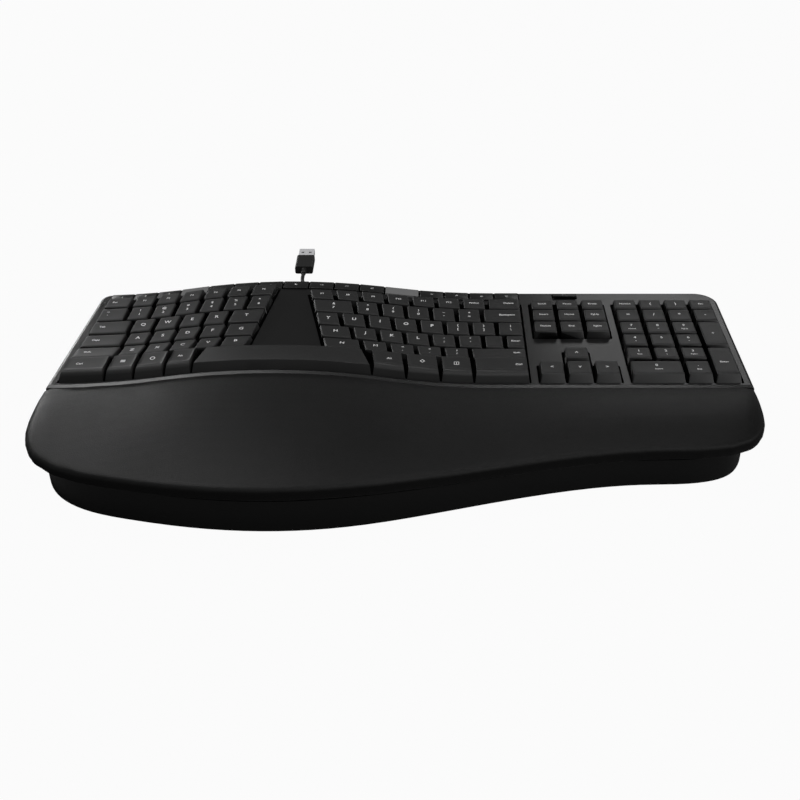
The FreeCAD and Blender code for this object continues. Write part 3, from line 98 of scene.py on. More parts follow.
class Value:
    """One output socket. An operation on it adds a Math node and gives its output."""

    def __init__(self, tree, socket):
        self.tree = tree
        self.socket = socket

    def math(self, operation, *terms, clamp=False):
        node = self.tree.nodes.new("ShaderNodeMath")
        node.operation = operation
        node.use_clamp = clamp
        for slot, term in zip(node.inputs, terms):
            feed(self.tree, slot, term)
        return Value(self.tree, node.outputs[0])

    def __add__(self, other):
        return self.math("ADD", self, other)

    def __sub__(self, other):
        return self.math("SUBTRACT", self, other)

    def __rsub__(self, other):
        return self.math("SUBTRACT", other, self)

    def __mul__(self, other):
        return self.math("MULTIPLY", self, other)

    __radd__ = __add__
    __rmul__ = __mul__

    def limited(self):
        """The same value, kept between 0 and 1."""
        return self.math("ADD", self, 0.0, clamp=True)


# %% [markdown]
# ## Trees of nodes
# A node needs a type, then its settings, because they decide which sockets it has,
# and then the values or links of its sockets. One method does all three in that
# order, so no finish has to spell it out. A finish is such a tree round the
# Principled shader. What is the same all over a surface is set on the shader itself.


# %% Node trees and finishes
class NodeTree:
    """A tree of shader nodes, with one method that adds a node of any kind."""

    def __init__(self, tree):
        self.tree = tree

    def node(self, kind, settings=None, output=0, sockets=None, **named_sockets):
        """Adds a node and gives one output. Sockets go by number, or by name with _ for a space."""
        node = self.tree.nodes.new("ShaderNode" + kind)
        for key, value in (settings or {}).items():
            setattr(node, key, value)
        for number, value in (sockets or {}).items():
            feed(self.tree, node.inputs[number], value)
        for key, value in named_sockets.items():
            feed(self.tree, node.inputs[key.replace("_", " ")], value)
        return Value(self.tree, node.outputs[output])


class Finish(NodeTree):
    """A material with a Principled shader."""

    def __init__(self, name, **plain):
        self.material = bpy.data.materials.new(name)
        self.material.use_nodes = True
        super().__init__(self.material.node_tree)
        self.shader = self.tree.nodes["Principled BSDF"]
        self.drive(**plain)

    def drive(self, **sockets):
        """Sets or links sockets of the shader."""
        for key, value in sockets.items():
            feed(self.tree, self.shader.inputs[key.replace("_", " ")], value)

    def place(self):
        return self.node("TexCoord", output="Object")

    def turned_away(self, full, none):
        """1 where the surface looks up less than full, 0 where more than none. A top looks up by 1."""
        upward = self.node("SeparateXYZ", output="Z", Vector=self.node("TexCoord", output="Normal"))
        slope = 1 / (none - full)
        return (none * slope - upward * slope).limited()

    def noise(self, scale, detail=2.0, roughness=0.5):
        """Noise with so many features in a metre."""
        return self.node(
            "TexNoise", Vector=self.place(), Scale=scale, Detail=detail, Roughness=roughness)

    def shade(self, factor, dark, light):
        """A colour between two, by a factor from 0 to 1."""
        ends = {0: factor, 6: (*dark, 1), 7: (*light, 1)}
        return self.node("Mix", {"data_type": "RGBA"}, output=2, sockets=ends)

    def bump(self, height, depth):
        return self.node("Bump", Height=height, Distance=depth, Strength=1.0)


# %% [markdown]
# ## Moulded plastics
# Nearly everything here is black plastic, told apart by its skin. Keys have a fine
# spark-eroded grain that breaks up the gloss. The deck and the buttons along the back
# are smoother and darker, and the thin rim under the palm rest is the glossiest. A
# flat black would look like paint, so each finish gets its grain as bump, and a slow
# drift of roughness as hands and moulds leave it. A keycap's sides are slicker than its
# top, so they mirror the dark gap, and their colour is darkened with painted shade.

# %% Plastic finishes
DRIFT_SCALE = 22.0
TONE_DRIFT = 0.15
SIDE_LOOKS_UP = 0.2
TOP_LOOKS_UP = 0.6
# How dark a keycap's sides are painted, as shade
SIDE_PAINTED_SHADE = 0.2


def grained_plastic(name, tone, roughness, grain, depth, specular=0.5, drift=0.06, tint=(1, 1, 1),
                    slick_and_shaded_sides=0.0):
    """Moulded plastic with grain of a size and depth in mm, and a slow change of gloss and tone. Slick
    sides are smoother and get painted shade.
    """
    skin = Finish(name, Specular_IOR_Level=specular)
    fine = skin.noise(1 / (grain * MM), 3.0, 0.6)
    slow = skin.noise(DRIFT_SCALE)
    dark = [tone * (1 - TONE_DRIFT) * share for share in tint]
    light = [tone * (1 + TONE_DRIFT) * share for share in tint]
    gloss = (slow - 0.5) * drift * 2 + (fine - 0.5) * drift + roughness
    if slick_and_shaded_sides:
        sides = skin.turned_away(SIDE_LOOKS_UP, TOP_LOOKS_UP)
        # The sides' colour is darkened with painted shade, and their roughness is lowered below
        dark = [value * SIDE_PAINTED_SHADE for value in dark]
        slow = slow * 0.5 + 0.5 - sides
        gloss = gloss - sides * slick_and_shaded_sides
    skin.drive(
        Base_Color=skin.shade(slow.limited(), dark, light),
        Roughness=gloss.limited(),
        Normal=skin.bump(fine, depth * MM),
    )
    return skin.material


# The caps' sides get painted shade in their colour
key_plastic = grained_plastic(
    "key_plastic", 0.019, 0.46, grain=0.35, depth=0.02, specular=0.33, slick_and_shaded_sides=0.26)
deck_plastic = grained_plastic("deck_plastic", 0.006, 0.3, grain=0.45, depth=0.015, specular=0.4)
case_plastic = grained_plastic("case_plastic", 0.0025, 0.4, grain=0.6, depth=0.03, specular=0.35)
rim_plastic = grained_plastic("rim_plastic", 0.003, 0.2, grain=0.8, depth=0.004, drift=0.04)
button_plastic = grained_plastic(
    "button_plastic", 0.008, 0.34, grain=0.8, depth=0.004, specular=0.4, drift=0.05)
window_plastic = grained_plastic("window_plastic", 0.2, 0.2, grain=0.8, depth=0.002, drift=0.03)
# The guide frame between the caps is painted almost black, as shade in the gaps
guide_plastic = grained_plastic("guide_plastic", 0.001, 0.7, grain=0.6, depth=0.02, specular=0.05)
black_rubber = grained_plastic("black_rubber", 0.006, 0.7, grain=0.4, depth=0.04, specular=0.25)
cord_rubber = grained_plastic("cord_rubber", 0.008, 0.5, grain=0.5, depth=0.02, specular=0.4)
grey_silicone = grained_plastic(
    "grey_silicone", 0.25, 0.6, grain=0.5, depth=0.02, tint=(1, 1, 0.96))
clear_film = grained_plastic(
    "clear_film", 0.3, 0.2, grain=1.0, depth=0.002, tint=(0.95, 1, 0.95))
board_green = grained_plastic(
    "board_green", 0.05, 0.3, grain=0.8, depth=0.01, tint=(0.25, 1, 0.4))
white_insert = grained_plastic("white_insert", 0.55, 0.35, grain=0.6, depth=0.005)
legend_ink = grained_plastic(
    "legend_ink", 0.85, 0.5, grain=0.4, depth=0.002, specular=0.3, drift=0.03)
print("plastics", [finish.name for finish in bpy.data.materials if finish.use_nodes])

# %% [markdown]
# ## Metal
# The plug's shell is rolled and plated sheet. Fine lines run along it from the
# rolling, so its noise is stretched along Y before it becomes bump. The screws, the
# pins and the backing plate are plain steel with the same rolling lines.

# %% Plated steel
ROLLING_LINES = (9000.0, 300.0, 9000.0)
PLATING_SCALE = 60.0


def plated_steel(name, tone, roughness):
    """Steel that is a little bluish, with rolling lines in its gloss and its bump."""
    skin = Finish(name, Metallic=1.0)
    stretched = skin.node("Mapping", Vector=skin.place(), Scale=ROLLING_LINES)
    lines = skin.node("TexNoise", Vector=stretched, Scale=1.0, Detail=2.0)
    light = [tone, tone, tone * 1.02]
    skin.drive(
        Base_Color=skin.shade(skin.noise(PLATING_SCALE).limited(), [t * 0.9 for t in light], light),
        Roughness=((lines - 0.5) * 0.12 + roughness).limited(),
        Normal=skin.bump(lines, 0.004 * MM),
    )
    return skin.material


plug_steel = plated_steel("plug_steel", 0.95, 0.58)
plain_steel = plated_steel("plain_steel", 0.5, 0.38)
print("metals", plug_steel.name, plain_steel.name)

# %% [markdown]
# ## Cushion cover
# The palm rest is foam under a soft, rubbery cover with a very fine leather-like
# grain: small cells with creases between them. Plain noise has no creases, but a
# Voronoi texture's distance to the edge of a cell does, and the creases are painted
# darker as shade. The cover is satin where palms lie and duller where it rolls over the
# lip, so the surface's own normal drives that, and there its colour gets painted shade.

# %% Soft cover
CELL_SCALE = 900.0
CELL_STEEPNESS = 5.0
PORE_SCALE = 2600.0
PALM_MARK_SCALE = 16.0
LIP_LOOKS_UP = 0.5
LIP_BEGINS = 0.885


def soft_cover(name, tone, roughness):
    """A soft cover: cells and creases, palm marks, and a duller roll at the lip; creases and lip get
    painted shade.
    """
    skin = Finish(name, Specular_IOR_Level=0.2, Sheen_Weight=0.02, Sheen_Roughness=0.5)
    edge = skin.node(
        "TexVoronoi", {"feature": "DISTANCE_TO_EDGE"}, output="Distance",
        Vector=skin.place(), Scale=CELL_SCALE)
    cell = (edge * CELL_STEEPNESS).limited()
    pores = skin.noise(PORE_SCALE, 3.0)
    slow = skin.noise(PALM_MARK_SCALE, 3.0)
    lip = skin.turned_away(LIP_LOOKS_UP, LIP_BEGINS)
    # Palm marks and cell tone, with painted shade in the creases and on the lip's roll
    marks_and_painted_shade = (slow * 0.7 + cell * 0.3) * (1 - lip * 0.8)
    skin.drive(
        Base_Color=skin.shade(marks_and_painted_shade.limited(), [tone * 0.2] * 3, [tone * 1.2] * 3),
        Roughness=((slow - 0.5) * 0.1 + (1 - cell) * 0.08 + lip * 0.6 + roughness).limited(),
        Normal=skin.bump(cell * 0.7 + pores * 0.3, 0.03 * MM),
    )
    return skin.material


cushion_cover = soft_cover("cushion_cover", 0.005, 0.42)
print("cover", cushion_cover.name)

# %% [markdown]
# ## Which CAD node gets which finish
# The rigid shells keep their CAD shape, because a case of this kind has plain moulded
# faces and the solids already have its edges. Each only needs its material. A node's
# single material slot is filled, and the mesh is left as it is.

# %% Finishes for the CAD nodes that stay
KEPT = {
    "bottom_case": case_plastic, "top_case": deck_plastic, "palm_rest_carrier": rim_plastic,
    "key_guide_frame": guide_plastic, "rubber_dome_sheet": grey_silicone, "membrane_sheet": clear_film,
    "backing_plate": plain_steel, "controller_board": board_green, "rubber_feet": black_rubber,
    "case_screws": plain_steel, "cable_strain_relief": cord_rubber, "cable_tie": black_rubber,
    "plug_overmould": cord_rubber, "plug_shell": plug_steel, "plug_tongue": white_insert,
    "tilt_leg_left": case_plastic, "tilt_leg_right": case_plastic, "tilt_leg_tip_left": black_rubber,
    "tilt_leg_tip_right": black_rubber, "tilt_leg_pins": plain_steel, "indicator_windows": window_plastic,
}


def finish_mesh(mesh, material):
    mesh.materials.clear()
    mesh.materials.append(material)


for name, material in KEPT.items():
    finish_mesh(nodes[name].data, material)
print(len(KEPT), "CAD nodes keep their shape")

# %% [markdown]
# ## Pieces
# Every new piece is a mesh object at the origin that rides on a CAD body. When it
# stands for a CAD node, that node is hidden and stays only for collision. A new shape
# often starts from the node it replaces, whose mesh is loose triangles, so the copy
# is joined first.

# %% Helpers for pieces
JOIN_WITHIN = 0.004 * MM
CAP_FLATNESS = 0.4
SMOOTH_BELOW = 50


def file_piece(name, mesh, material, body, replaced=()):
    """Makes an object of a mesh, hangs it on the body it rides on, and hides the nodes it replaces."""
    finish_mesh(mesh, material)
    piece = bpy.data.objects.new(name, mesh)
    scene.collection.objects.link(piece)
    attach(piece, body)
    if replaced:
        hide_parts(*replaced)
    return piece


def smooth_mesh(name, shape):
    """A mesh from a bmesh, shaded smooth up to an angle that is still a real edge."""
    mesh = bpy.data.meshes.new(name)
    shape.to_mesh(mesh)
    shape.free()
    mesh.shade_smooth()
    mesh.set_sharp_from_angle(angle=math.radians(SMOOTH_BELOW))
    return mesh


def evaluated_mesh(carrier):
    """The mesh that a text or a modifier gives. Its object is removed afterwards."""
    scene.collection.objects.link(carrier)
    bpy.context.view_layer.update()
    graph = bpy.context.evaluated_depsgraph_get()
    mesh = bpy.data.meshes.new_from_object(carrier.evaluated_get(graph))
    bpy.data.objects.remove(carrier)
    return mesh


def joined_copy(node):
    """The CAD node's mesh with its loose triangles joined."""
    shape = bmesh.new()
    shape.from_mesh(nodes[node].data)
    bmesh.ops.remove_doubles(shape, verts=shape.verts, dist=JOIN_WITHIN)
    return shape


def whole_copy(node, flatness):
    """A joined copy whose triangles within so many degrees of each other are one face again."""
    shape = joined_copy(node)
    bmesh.ops.dissolve_limit(
        shape, angle_limit=math.radians(flatness), verts=shape.verts, edges=shape.edges,
        delimit={"NORMAL"})
    shape.normal_update()
    return shape


def round_off(shape, edges, radius, segments):
    """Bevels the edges with a round profile."""
    bmesh.ops.bevel(
        shape, geom=list(edges), offset=radius, offset_type="OFFSET", affect="EDGES",
        segments=segments, profile=0.5, material=-1, clamp_overlap=True)
    shape.normal_update()


# %% [markdown]
# ## Keycaps
# A moulded cap has no sharp edge, and its top is dished so that a fingertip finds
# its middle. One model cap could be copied to every place, but the caps here differ
# in width, slant and lean. So each cap starts from its own solid: its top edges and
# corners are bevelled, and its top is divided into a grid and sunk in the middle. The
# keys of the front row roll over towards the palms, so their front edge has a far
# larger round.

# %% Finding a cap's top
LOOKS_UP = 0.8
TOP_BAND = 2.2 * MM
FRONT_SHARE = 0.7
SAME_WAY = 0.999
SAME_HEIGHT = 0.1 * MM

Cap = namedtuple("Cap", "centre right back up half_x half_y")


def islands(shape):
    """The faces of each separate cap."""
    seen = set()
    groups = []
    for start in shape.faces:
        if start in seen:
            continue
        seen.add(start)
        group = [start]
        for face in group:
            for edge in face.edges:
                for other in edge.link_faces:
                    if other not in seen:
                        seen.add(other)
                        group.append(other)
        groups.append(group)
    return groups


def top_face(group):
    """The widest of a cap's highest faces that look up."""
    upward = [face for face in group if face.normal.z > LOOKS_UP]
    highest = max(face.calc_center_median().z for face in upward)
    near = [face for face in upward if face.calc_center_median().z > highest - TOP_BAND]
    return max(near, key=lambda face: face.calc_area())


def spread(points, centre, direction):
    """How far the points lie from a centre along a direction, on average."""
    return sum(abs((point - centre).dot(direction)) for point in points) / len(points)


def cap_frame(face):
    """A top's centre, its right, back and up directions, and its half sizes."""
    up = face.normal.copy()
    right = Vector((1, 0, 0))
    right = (right - up * right.dot(up)).normalized()
    back = up.cross(right)
    corners = [vert.co.copy() for vert in face.verts]
    centre = sum(corners, Vector()) / len(corners)
    half_x = spread(corners, centre, right)
    half_y = spread(corners, centre, back)
    return Cap(centre, right, back, up, half_x, half_y)


def front_edges(face):
    """The edges of a cap's top that face the typist."""
    cap = cap_frame(face)
    return [edge for edge in face.edges
            if sum((vert.co - cap.centre).dot(cap.back) for vert in edge.verts) / 2
            < -FRONT_SHARE * cap.half_y]


def flat_top(shape, cap):
    """What the rounding has left of a cap's flat top."""
    def is_on_top(face):
        offset = face.calc_center_median() - cap.centre
        return (face.normal.dot(cap.up) > SAME_WAY and abs(offset.dot(cap.up)) < SAME_HEIGHT
                and offset.length < max(cap.half_x, cap.half_y))

    return max(filter(is_on_top, shape.faces), key=lambda face: face.calc_area())


# %% Keycap shaping
EDGE_ROUND = 0.75 * MM
BUTTON_ROUND = 0.3 * MM
FRONT_ROLL = 3.0 * MM
EDGE_SEGMENTS = 3
ROLL_SEGMENTS = 6
DISH_DEPTH = 0.28 * MM
DISH_CUTS = 7
IN_PLANE = 0.02 * MM
RIM_SHARE = 0.98
SLANT_ROOM = 0.3


def sink(shape, cap, rim, dish):
    """Lowers what lies inside the rim of a cap's top, most in the middle and not at the rim."""
    span_x = spread(rim, cap.centre, cap.right)
    span_y = spread(rim, cap.centre, cap.back)
    for vert in shape.verts:
        offset = vert.co - cap.centre
        if abs(offset.dot(cap.up)) > IN_PLANE:
            continue
        u = offset.dot(cap.right) / (span_x + span_y * SLANT_ROOM)
        v = offset.dot(cap.back) / span_y
        if abs(v) < RIM_SHARE:
            vert.co -= cap.up * (dish * max(0.0, 1 - u * u) * (1 - v * v))


def shape_caps(node, edge_round, dish, front_roll):
    """Rounds and dishes every cap of a node. Gives the bmesh and the caps from left to right."""
    shape = whole_copy(node, CAP_FLATNESS)
    tops = [top_face(group) for group in islands(shape)]
    caps = [cap_frame(face) for face in tops]
    if front_roll:
        rolled = [edge for face in tops for edge in front_edges(face)]
        round_off(shape, rolled, front_roll, ROLL_SEGMENTS)
        tops = [top_face(group) for group in islands(shape)]
    edges = [edge for face in tops for corner in face.verts for edge in corner.link_edges]
    round_off(shape, dict.fromkeys(edges), edge_round, EDGE_SEGMENTS)
    for cap in caps:
        top = flat_top(shape, cap)
        if dish and len(top.verts) == 4:
            rim = [vert.co.copy() for vert in top.verts]
            bmesh.ops.subdivide_edges(shape, edges=top.edges[:], cuts=DISH_CUTS, use_grid_fill=True)
            sink(shape, cap, rim, dish)
    return shape, sorted(caps, key=lambda cap: cap.centre.x)


# %% [markdown]
# ## Legends
# Legends are printed flat on the tops. An image would need a picture file, so a text
# object gives the letters, and its mesh is laid on the cap: each corner is dropped
# along the top's normal onto the dished surface and left a few hundredths of a
# millimetre above it, as ink is. The strokes are spread a little, as ink does, but
# not in an M, whose narrow corners would close.

# %% Legend helpers
INK_LIFT = 0.03 * MM
INK_SPREAD = 0.02
CAPITAL_SHARE = 0.7
CURVE_STEPS = 3
HOVER = 0.5 * MM
DROP_FROM = 2 * MM
DROP_REACH = 5 * MM
text_cache = {}


def letters(words, height):
    """Flat mesh of the words, centred on the origin, with capitals of the given height."""
    key = (words, height)
    if key not in text_cache:
        curve = bpy.data.curves.new("letters", "FONT")
        curve.body = words
        curve.size = height / CAPITAL_SHARE
        curve.offset = 0 if "M" in words else height * INK_SPREAD
        curve.align_x = "CENTER"
        curve.align_y = "CENTER"
        curve.resolution_u = CURVE_STEPS
        text_cache[key] = evaluated_mesh(bpy.data.objects.new("letters", curve))
    return text_cache[key]


def print_on(sheet, tree, cap, marks):
    """Lays marks on one cap: words, height, place across and back as shares, and a turn."""
    turn = Matrix((cap.right, cap.back, cap.up)).transposed().to_4x4()
    for words, height, across, along, angle in marks:
        spot = cap.centre + cap.right * (cap.half_x * across) + cap.back * (cap.half_y * along)
        before = len(sheet.verts)
        sheet.from_mesh(letters(words, height))
        sheet.verts.ensure_lookup_table()
        new = sheet.verts[before:]
        place = Matrix.Translation(spot + cap.up * HOVER) @ turn @ Matrix.Rotation(angle, 4, "Z")
        bmesh.ops.transform(sheet, matrix=place, verts=new)
        for vert in new:
            hit = tree.ray_cast(vert.co + cap.up * DROP_FROM, -cap.up, DROP_REACH)[0]
            if hit is not None:
                vert.co = hit + cap.up * INK_LIFT


# %% [markdown]
# ## What each key says
# Letters are large and stand a little above the middle, words are small, and a number
# key has its sign above its number. Four keys of the front row have plain signs. The
# words could be typed key by key, but rows share a pattern, so a few short functions
# give each mark its height and its place.

# %% Kinds of legend
LETTER = 3.1 * MM
SMALL = 1.9 * MM
TINY = 1.5 * MM
ICON = TINY * 1.1
UP = math.pi / 2
DOWN = -math.pi / 2


def single(letter):
    return [(letter, LETTER, 0.0, 0.12, 0)]


def pair(upper, lower, across=0.0):
    return [(upper, LETTER * 0.72, across, 0.42, 0), (lower, LETTER * 0.8, across, -0.22, 0)]


def label(text, across=0.0, along=0.1):
    return [(text, SMALL, across, along, 0)]


def labels(texts):
    return [label(text) for text in texts]


def singles(texts):
    return [single(text) for text in texts]


def sign(mark, size=1.0, along=0.15, angle=0):
    return [(mark, LETTER * size, 0, along, angle)]


def icons(marks):
    return [[(mark, ICON, 0, 0, 0)] for mark in marks]


def pad_mark(number, name):
    return [(number, LETTER * 0.8, 0.0, 0.38, 0), (name, TINY, 0.0, -0.3, 0)]


# %% Legends of every node, from left to right
LEGENDS = {
    "function_keys_left": [label("Esc", -0.35), *labels(("F1", "F2", "F3", "F4", "F5", "F6"))],
    "number_keys_left": [
        pair("~", "`", -0.4), pair("!", "1"), pair("@", "2"), pair("#", "3"), pair("$", "4"),
        pair("%", "5"), pair("^", "6")],
    "upper_letter_keys_left": singles("QWERT"),
    "home_letter_keys_left": singles("ASDFG"),
    "lower_letter_keys_left": singles("ZXCVB"),
    "tab_key": [label("Tab", -0.45)],
    "caps_lock_key": [label("Caps", -0.4)],
    "left_shift_key": [label("Shift", -0.42)],
    "modifier_keys_left": [label("Ctrl", -0.3), sign("☰", 0.9), sign("○"), label("Alt", -0.1)],
    "function_keys_right": [
        *labels(("F7", "F8", "F9", "F10", "F11", "F12", "PrtScn")), label("Delete", 0.3)],
    "number_keys_right": [
        pair("&", "7"), pair("*", "8"), pair("(", "9"), pair(")", "0"), pair("_", "-"), pair("+", "=")],
    "backspace_key": [label("Backspace", 0.25)],
    "upper_letter_keys_right": [*singles("YUIOP"), pair("{", "["), pair("}", "]"), pair("|", "\\")],
    "home_letter_keys_right": [*singles("HJKL"), pair(":", ";"), pair('"', "'"), []],
    "enter_key": [label("Enter")],
    "lower_letter_keys_right": [*singles("NM"), pair("<", ","), pair(">", "."), pair("?", "/")],
    "right_shift_key": [label("Shift", 0.68)],
    "modifier_keys_right": [label("Alt", 0.1), sign("◇", 0.8), sign("◫", 1.2), label("Ctrl", 0.68)],
    "up_arrow_key": [sign(">", 0.9, 0.1, UP)],
    "down_arrow_key": [sign(">", 0.9, 0.1, DOWN)],
    "left_arrow_key": [sign("<", 0.9, 0.1)],
    "right_arrow_key": [sign(">", 0.9, 0.1)],
    "numpad_zero_key": [[("0", LETTER * 0.8, 0, 0.35, 0), ("Insert", TINY, 0.05, -0.25, 0)]],
    "numpad_enter_key": [label("Enter", 0, -0.1)],
    "numpad_plus_key": [sign("+", 0.8, 0)],
    "favourite_buttons": labels("123"),
    "media_buttons": icons(("x", "-", "+", "▶", "<<", ">>", "□")),
    "shortcut_buttons": icons("◫☆⌂○"),
}

# %% Legends of the blocks with several rows, from front to back
BLOCKS = {
    "navigation_keys": ((3, 3, 3), labels(
        ("Delete", "End", "PgDn", "Insert", "Home", "PgUp", "ScrLk", "Pause", "Break"))),
    "numpad_number_keys": ((1, 3, 3, 3), [
        pad_mark(".", "Del"), pad_mark("1", "End"), pad_mark("2", "v"), pad_mark("3", "PgDn"),
        pad_mark("4", "<"), pad_mark("5", ""), pad_mark("6", ">"), pad_mark("7", "Home"),
        pad_mark("8", "^"), pad_mark("9", "PgUp")]),
    "numpad_operator_keys": ((4, 4), [
        *singles("=/*-"), label("NumLk"), single("("), single(")"), label("Esc")]),
    "calculator_button": ((1,), [label("+ -", 0, 0)]),
}
print(len(LEGENDS) + len(BLOCKS), "nodes have legends")


def in_rows(caps, rows):
    """Caps sorted into rows from front to back, each from left to right."""
    by_depth = sorted(caps, key=lambda cap: cap.centre.y)
    ordered = []
    for count in rows:
        ordered += sorted(by_depth[:count], key=lambda cap: cap.centre.x)
        by_depth = by_depth[count:]
    return ordered


# %% [markdown]
# ## Caps and legends, node by node
# Most groups of keys share one recipe. The flat buttons along the back edge and the
# small button behind the navigation keys get a finer edge and no dish.

# %% Build the caps
BUTTONS = ("favourite_buttons", "media_buttons", "shortcut_buttons")


def dress(node):
    """Gives a node its rounded caps and its legends, and says how many caps it has."""
    body = node + "_body"
    rolled = node.startswith("modifier_keys")
    if node in BUTTONS or node == "calculator_button":
        shape, caps = shape_caps(node, BUTTON_ROUND, 0, 0)
    else:
        shape, caps = shape_caps(node, EDGE_ROUND, DISH_DEPTH, FRONT_ROLL if rolled else 0)
    tree = BVHTree.FromBMesh(shape)
    mesh = smooth_mesh(node + "_caps", shape)
    is_button = node in BUTTONS
    material, slot = (button_plastic, "gloss_plastic") if is_button else (key_plastic, "key_plastic")
    file_piece(node + "_caps", mesh, material, body, [node])
    if node in BLOCKS:
        rows, marks = BLOCKS[node]
        caps = in_rows(caps, rows)
    else:
        marks = LEGENDS[node]
    sheet = bmesh.new()
    for cap, mark in zip(caps, marks):
        print_on(sheet, tree, cap, mark)
    ink = bpy.data.meshes.new(node + "_legends")
    sheet.to_mesh(ink)
    sheet.free()
    file_piece(node + "_legends", ink, legend_ink, body)
    return len(caps)


print(sum(dress(node) for node in [*LEGENDS, *BLOCKS]), "caps dressed")

# %% [markdown]
# ## Space bar
# The bar follows the hump in plan and in height, so its top isn't flat. A grid and a
# dish would flatten its curve, so it keeps the CAD top and only its outer edges are
# rounded, more than those of the small keys, because the thumbs roll over the front
# one.

# %% Space bar
BAR_FLATNESS = 1.2
BAR_ROUND = 1.3 * MM
BAR_SEGMENTS = 4
BAR_EDGE_ANGLE = math.radians(25)
ABOVE_SKIRT = 27.5 * MM
LOOKS_DOWN = -0.3


def is_outer_edge(edge):
    """A sharp edge on the outside of the bar, above its skirt."""
    return (len(edge.link_faces) == 2 and edge.is_convex
            and edge.calc_face_angle(0) > BAR_EDGE_ANGLE
            and min(vert.co.z for vert in edge.verts) > ABOVE_SKIRT
            and all(face.normal.z > LOOKS_DOWN for face in edge.link_faces))


bar = whole_copy("space_bar", BAR_FLATNESS)
round_off(bar, filter(is_outer_edge, bar.edges), BAR_ROUND, BAR_SEGMENTS)
bar_mesh = smooth_mesh("space_bar_cap", bar)
file_piece("space_bar_cap", bar_mesh, key_plastic, "space_bar_body", ["space_bar"])
print("space bar", len(bar_mesh.polygons), "faces")

# %% [markdown]
# ## Palm rest
# Foam under a tight cover has no facets and no hard edge except where the cover is
# tucked in along the seam and over the lip. Cloth with pressure would swell it, and
# this cover is stretched over a moulded block that can't swell. So the CAD cushion,
# which has the right size, is rebuilt as small even squares and relaxed until its
# sections melt together.

# %% Palm rest cushion
PAD_SQUARE = 1.6 * MM
RELAXING_ROUNDS = 4


def relaxed_cushion(node, square, rounds):
    """The node's form in even squares of the given size, smoothed so many times."""
    start = bpy.data.meshes.new("cushion_start")
    joined = joined_copy(node)
    joined.to_mesh(start)
    joined.free()
    carrier = bpy.data.objects.new("cushion_start", start)
    remesh = carrier.modifiers.new("even squares", "REMESH")
    remesh.mode = "VOXEL"
    remesh.voxel_size = square
    even = evaluated_mesh(carrier)
    shape = bmesh.new()
    shape.from_mesh(even)
    for _ in range(rounds):
        bmesh.ops.smooth_vert(
            shape, verts=shape.verts, factor=0.5, use_axis_x=True, use_axis_y=True, use_axis_z=True)
    shape.to_mesh(even)
    shape.free()
    even.shade_smooth()
    return even


cushion_mesh = relaxed_cushion("palm_rest_pad", PAD_SQUARE, RELAXING_ROUNDS)
cushion = file_piece(
    "palm_rest_cushion", cushion_mesh, cushion_cover, "housing", ["palm_rest_pad"])
print("cushion", len(cushion_mesh.polygons), "squares")

# %% [markdown]
# ## Cable
# The cable leaves the back wall on the left, runs along the back edge and is tied
# into a hank that lies close behind the left half, where the deck hides it. Its plug
# stands out behind. A tube of straight runs and arcs would look like bent wire, so
# one NURBS spline carries the whole length, and its points turn wide at every fold.

# %% Cable route, in mm
CORD_DIAMETER = 2.8 * MM
HANK_X, HANK_Y, HANK_Z = -104.0, 131.4, 2.0
HANK_HALF, HANK_RISE, LOWER_FOLDS = 42.0, 3.4, 3
HALF_CORNER = math.radians(22.5)
RUN_OFFSETS = (12.75, 11.05, 9.35, 7.65, 9.35, 11.05, 12.75, 14.45)
EXIT_ROUTE = [
    (-200.0, 120.1, 5.0), (-200.0, 124.0, 4.6), (-196.6, 129.8, 3.6), (-189.6, 132.6, 2.6),
    (-180.0, 131.0, 2.0), (-168.5, 124.4, 2.0), (-157.5, 119.6, 2.0), (-149.5, 118.65, 2.0),
    (-146.0, 118.65, 2.0),
]
PLUG_ROUTE = [
    (-70.0, 145.85, 5.2), (-76.8, 148.2, 4.7), (-80.0, 153.4, 4.1), (-81.0, 160.0, 3.4),
    (-81.0, 165.0, 3.25), (-81.0, 168.4, 3.25),
]


def hank_points():
    """Corners of the hank. A half-round fold is drawn in four corners, and runs join the folds."""
    points = []
    side = 1
    for fold, (entry, leave) in enumerate(zip(RUN_OFFSETS, RUN_OFFSETS[1:])):
        radius = (entry + leave) / 2
        reach = radius / math.cos(HALF_CORNER)
        x = HANK_X + side * HANK_HALF
        y = HANK_Y + side * (leave - entry) / 2
        z = HANK_Z if fold < LOWER_FOLDS else HANK_Z + HANK_RISE
        begin = x - side * radius * math.tan(HALF_CORNER)
        points.append((begin, y - side * radius, z))
        for step in (-3, -1, 1, 3):
            turn = step * HALF_CORNER
            points.append((x + side * reach * math.cos(turn), y + side * reach * math.sin(turn), z))
        points.append((begin, y + side * radius, z))
        side = -side
    return points


route = EXIT_ROUTE + hank_points() + PLUG_ROUTE
print(len(route), "points on the cable's route")

# %% Cable
line = bpy.data.curves.new("cable_line", "CURVE")
line.dimensions = "3D"
line.bevel_depth = CORD_DIAMETER / 2
line.bevel_resolution = 3
line.resolution_u = 6
line.use_fill_caps = True
spline = line.splines.new("NURBS")
spline.points.add(len(route) - 1)
for point, place in zip(spline.points, route):
    point.co = (*[value * MM for value in place], 1)
spline.order_u = 3
spline.use_endpoint_u = True
line.materials.append(cord_rubber)
cable = bpy.data.objects.new("cable", line)
scene.collection.objects.link(cable)
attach(cable, "housing")
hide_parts("cable_exit_lead", "cable_hank", "cable_plug_lead")
[value * MM for value in route[0]]

# %% [markdown]
# ## World
# The picture shows the keyboard cut out on white. A white world would wash out black
# plastic, because gloss mirrors it. So only camera rays see it white: gloss sees a dim
# world, and the light that it sheds is dim too.

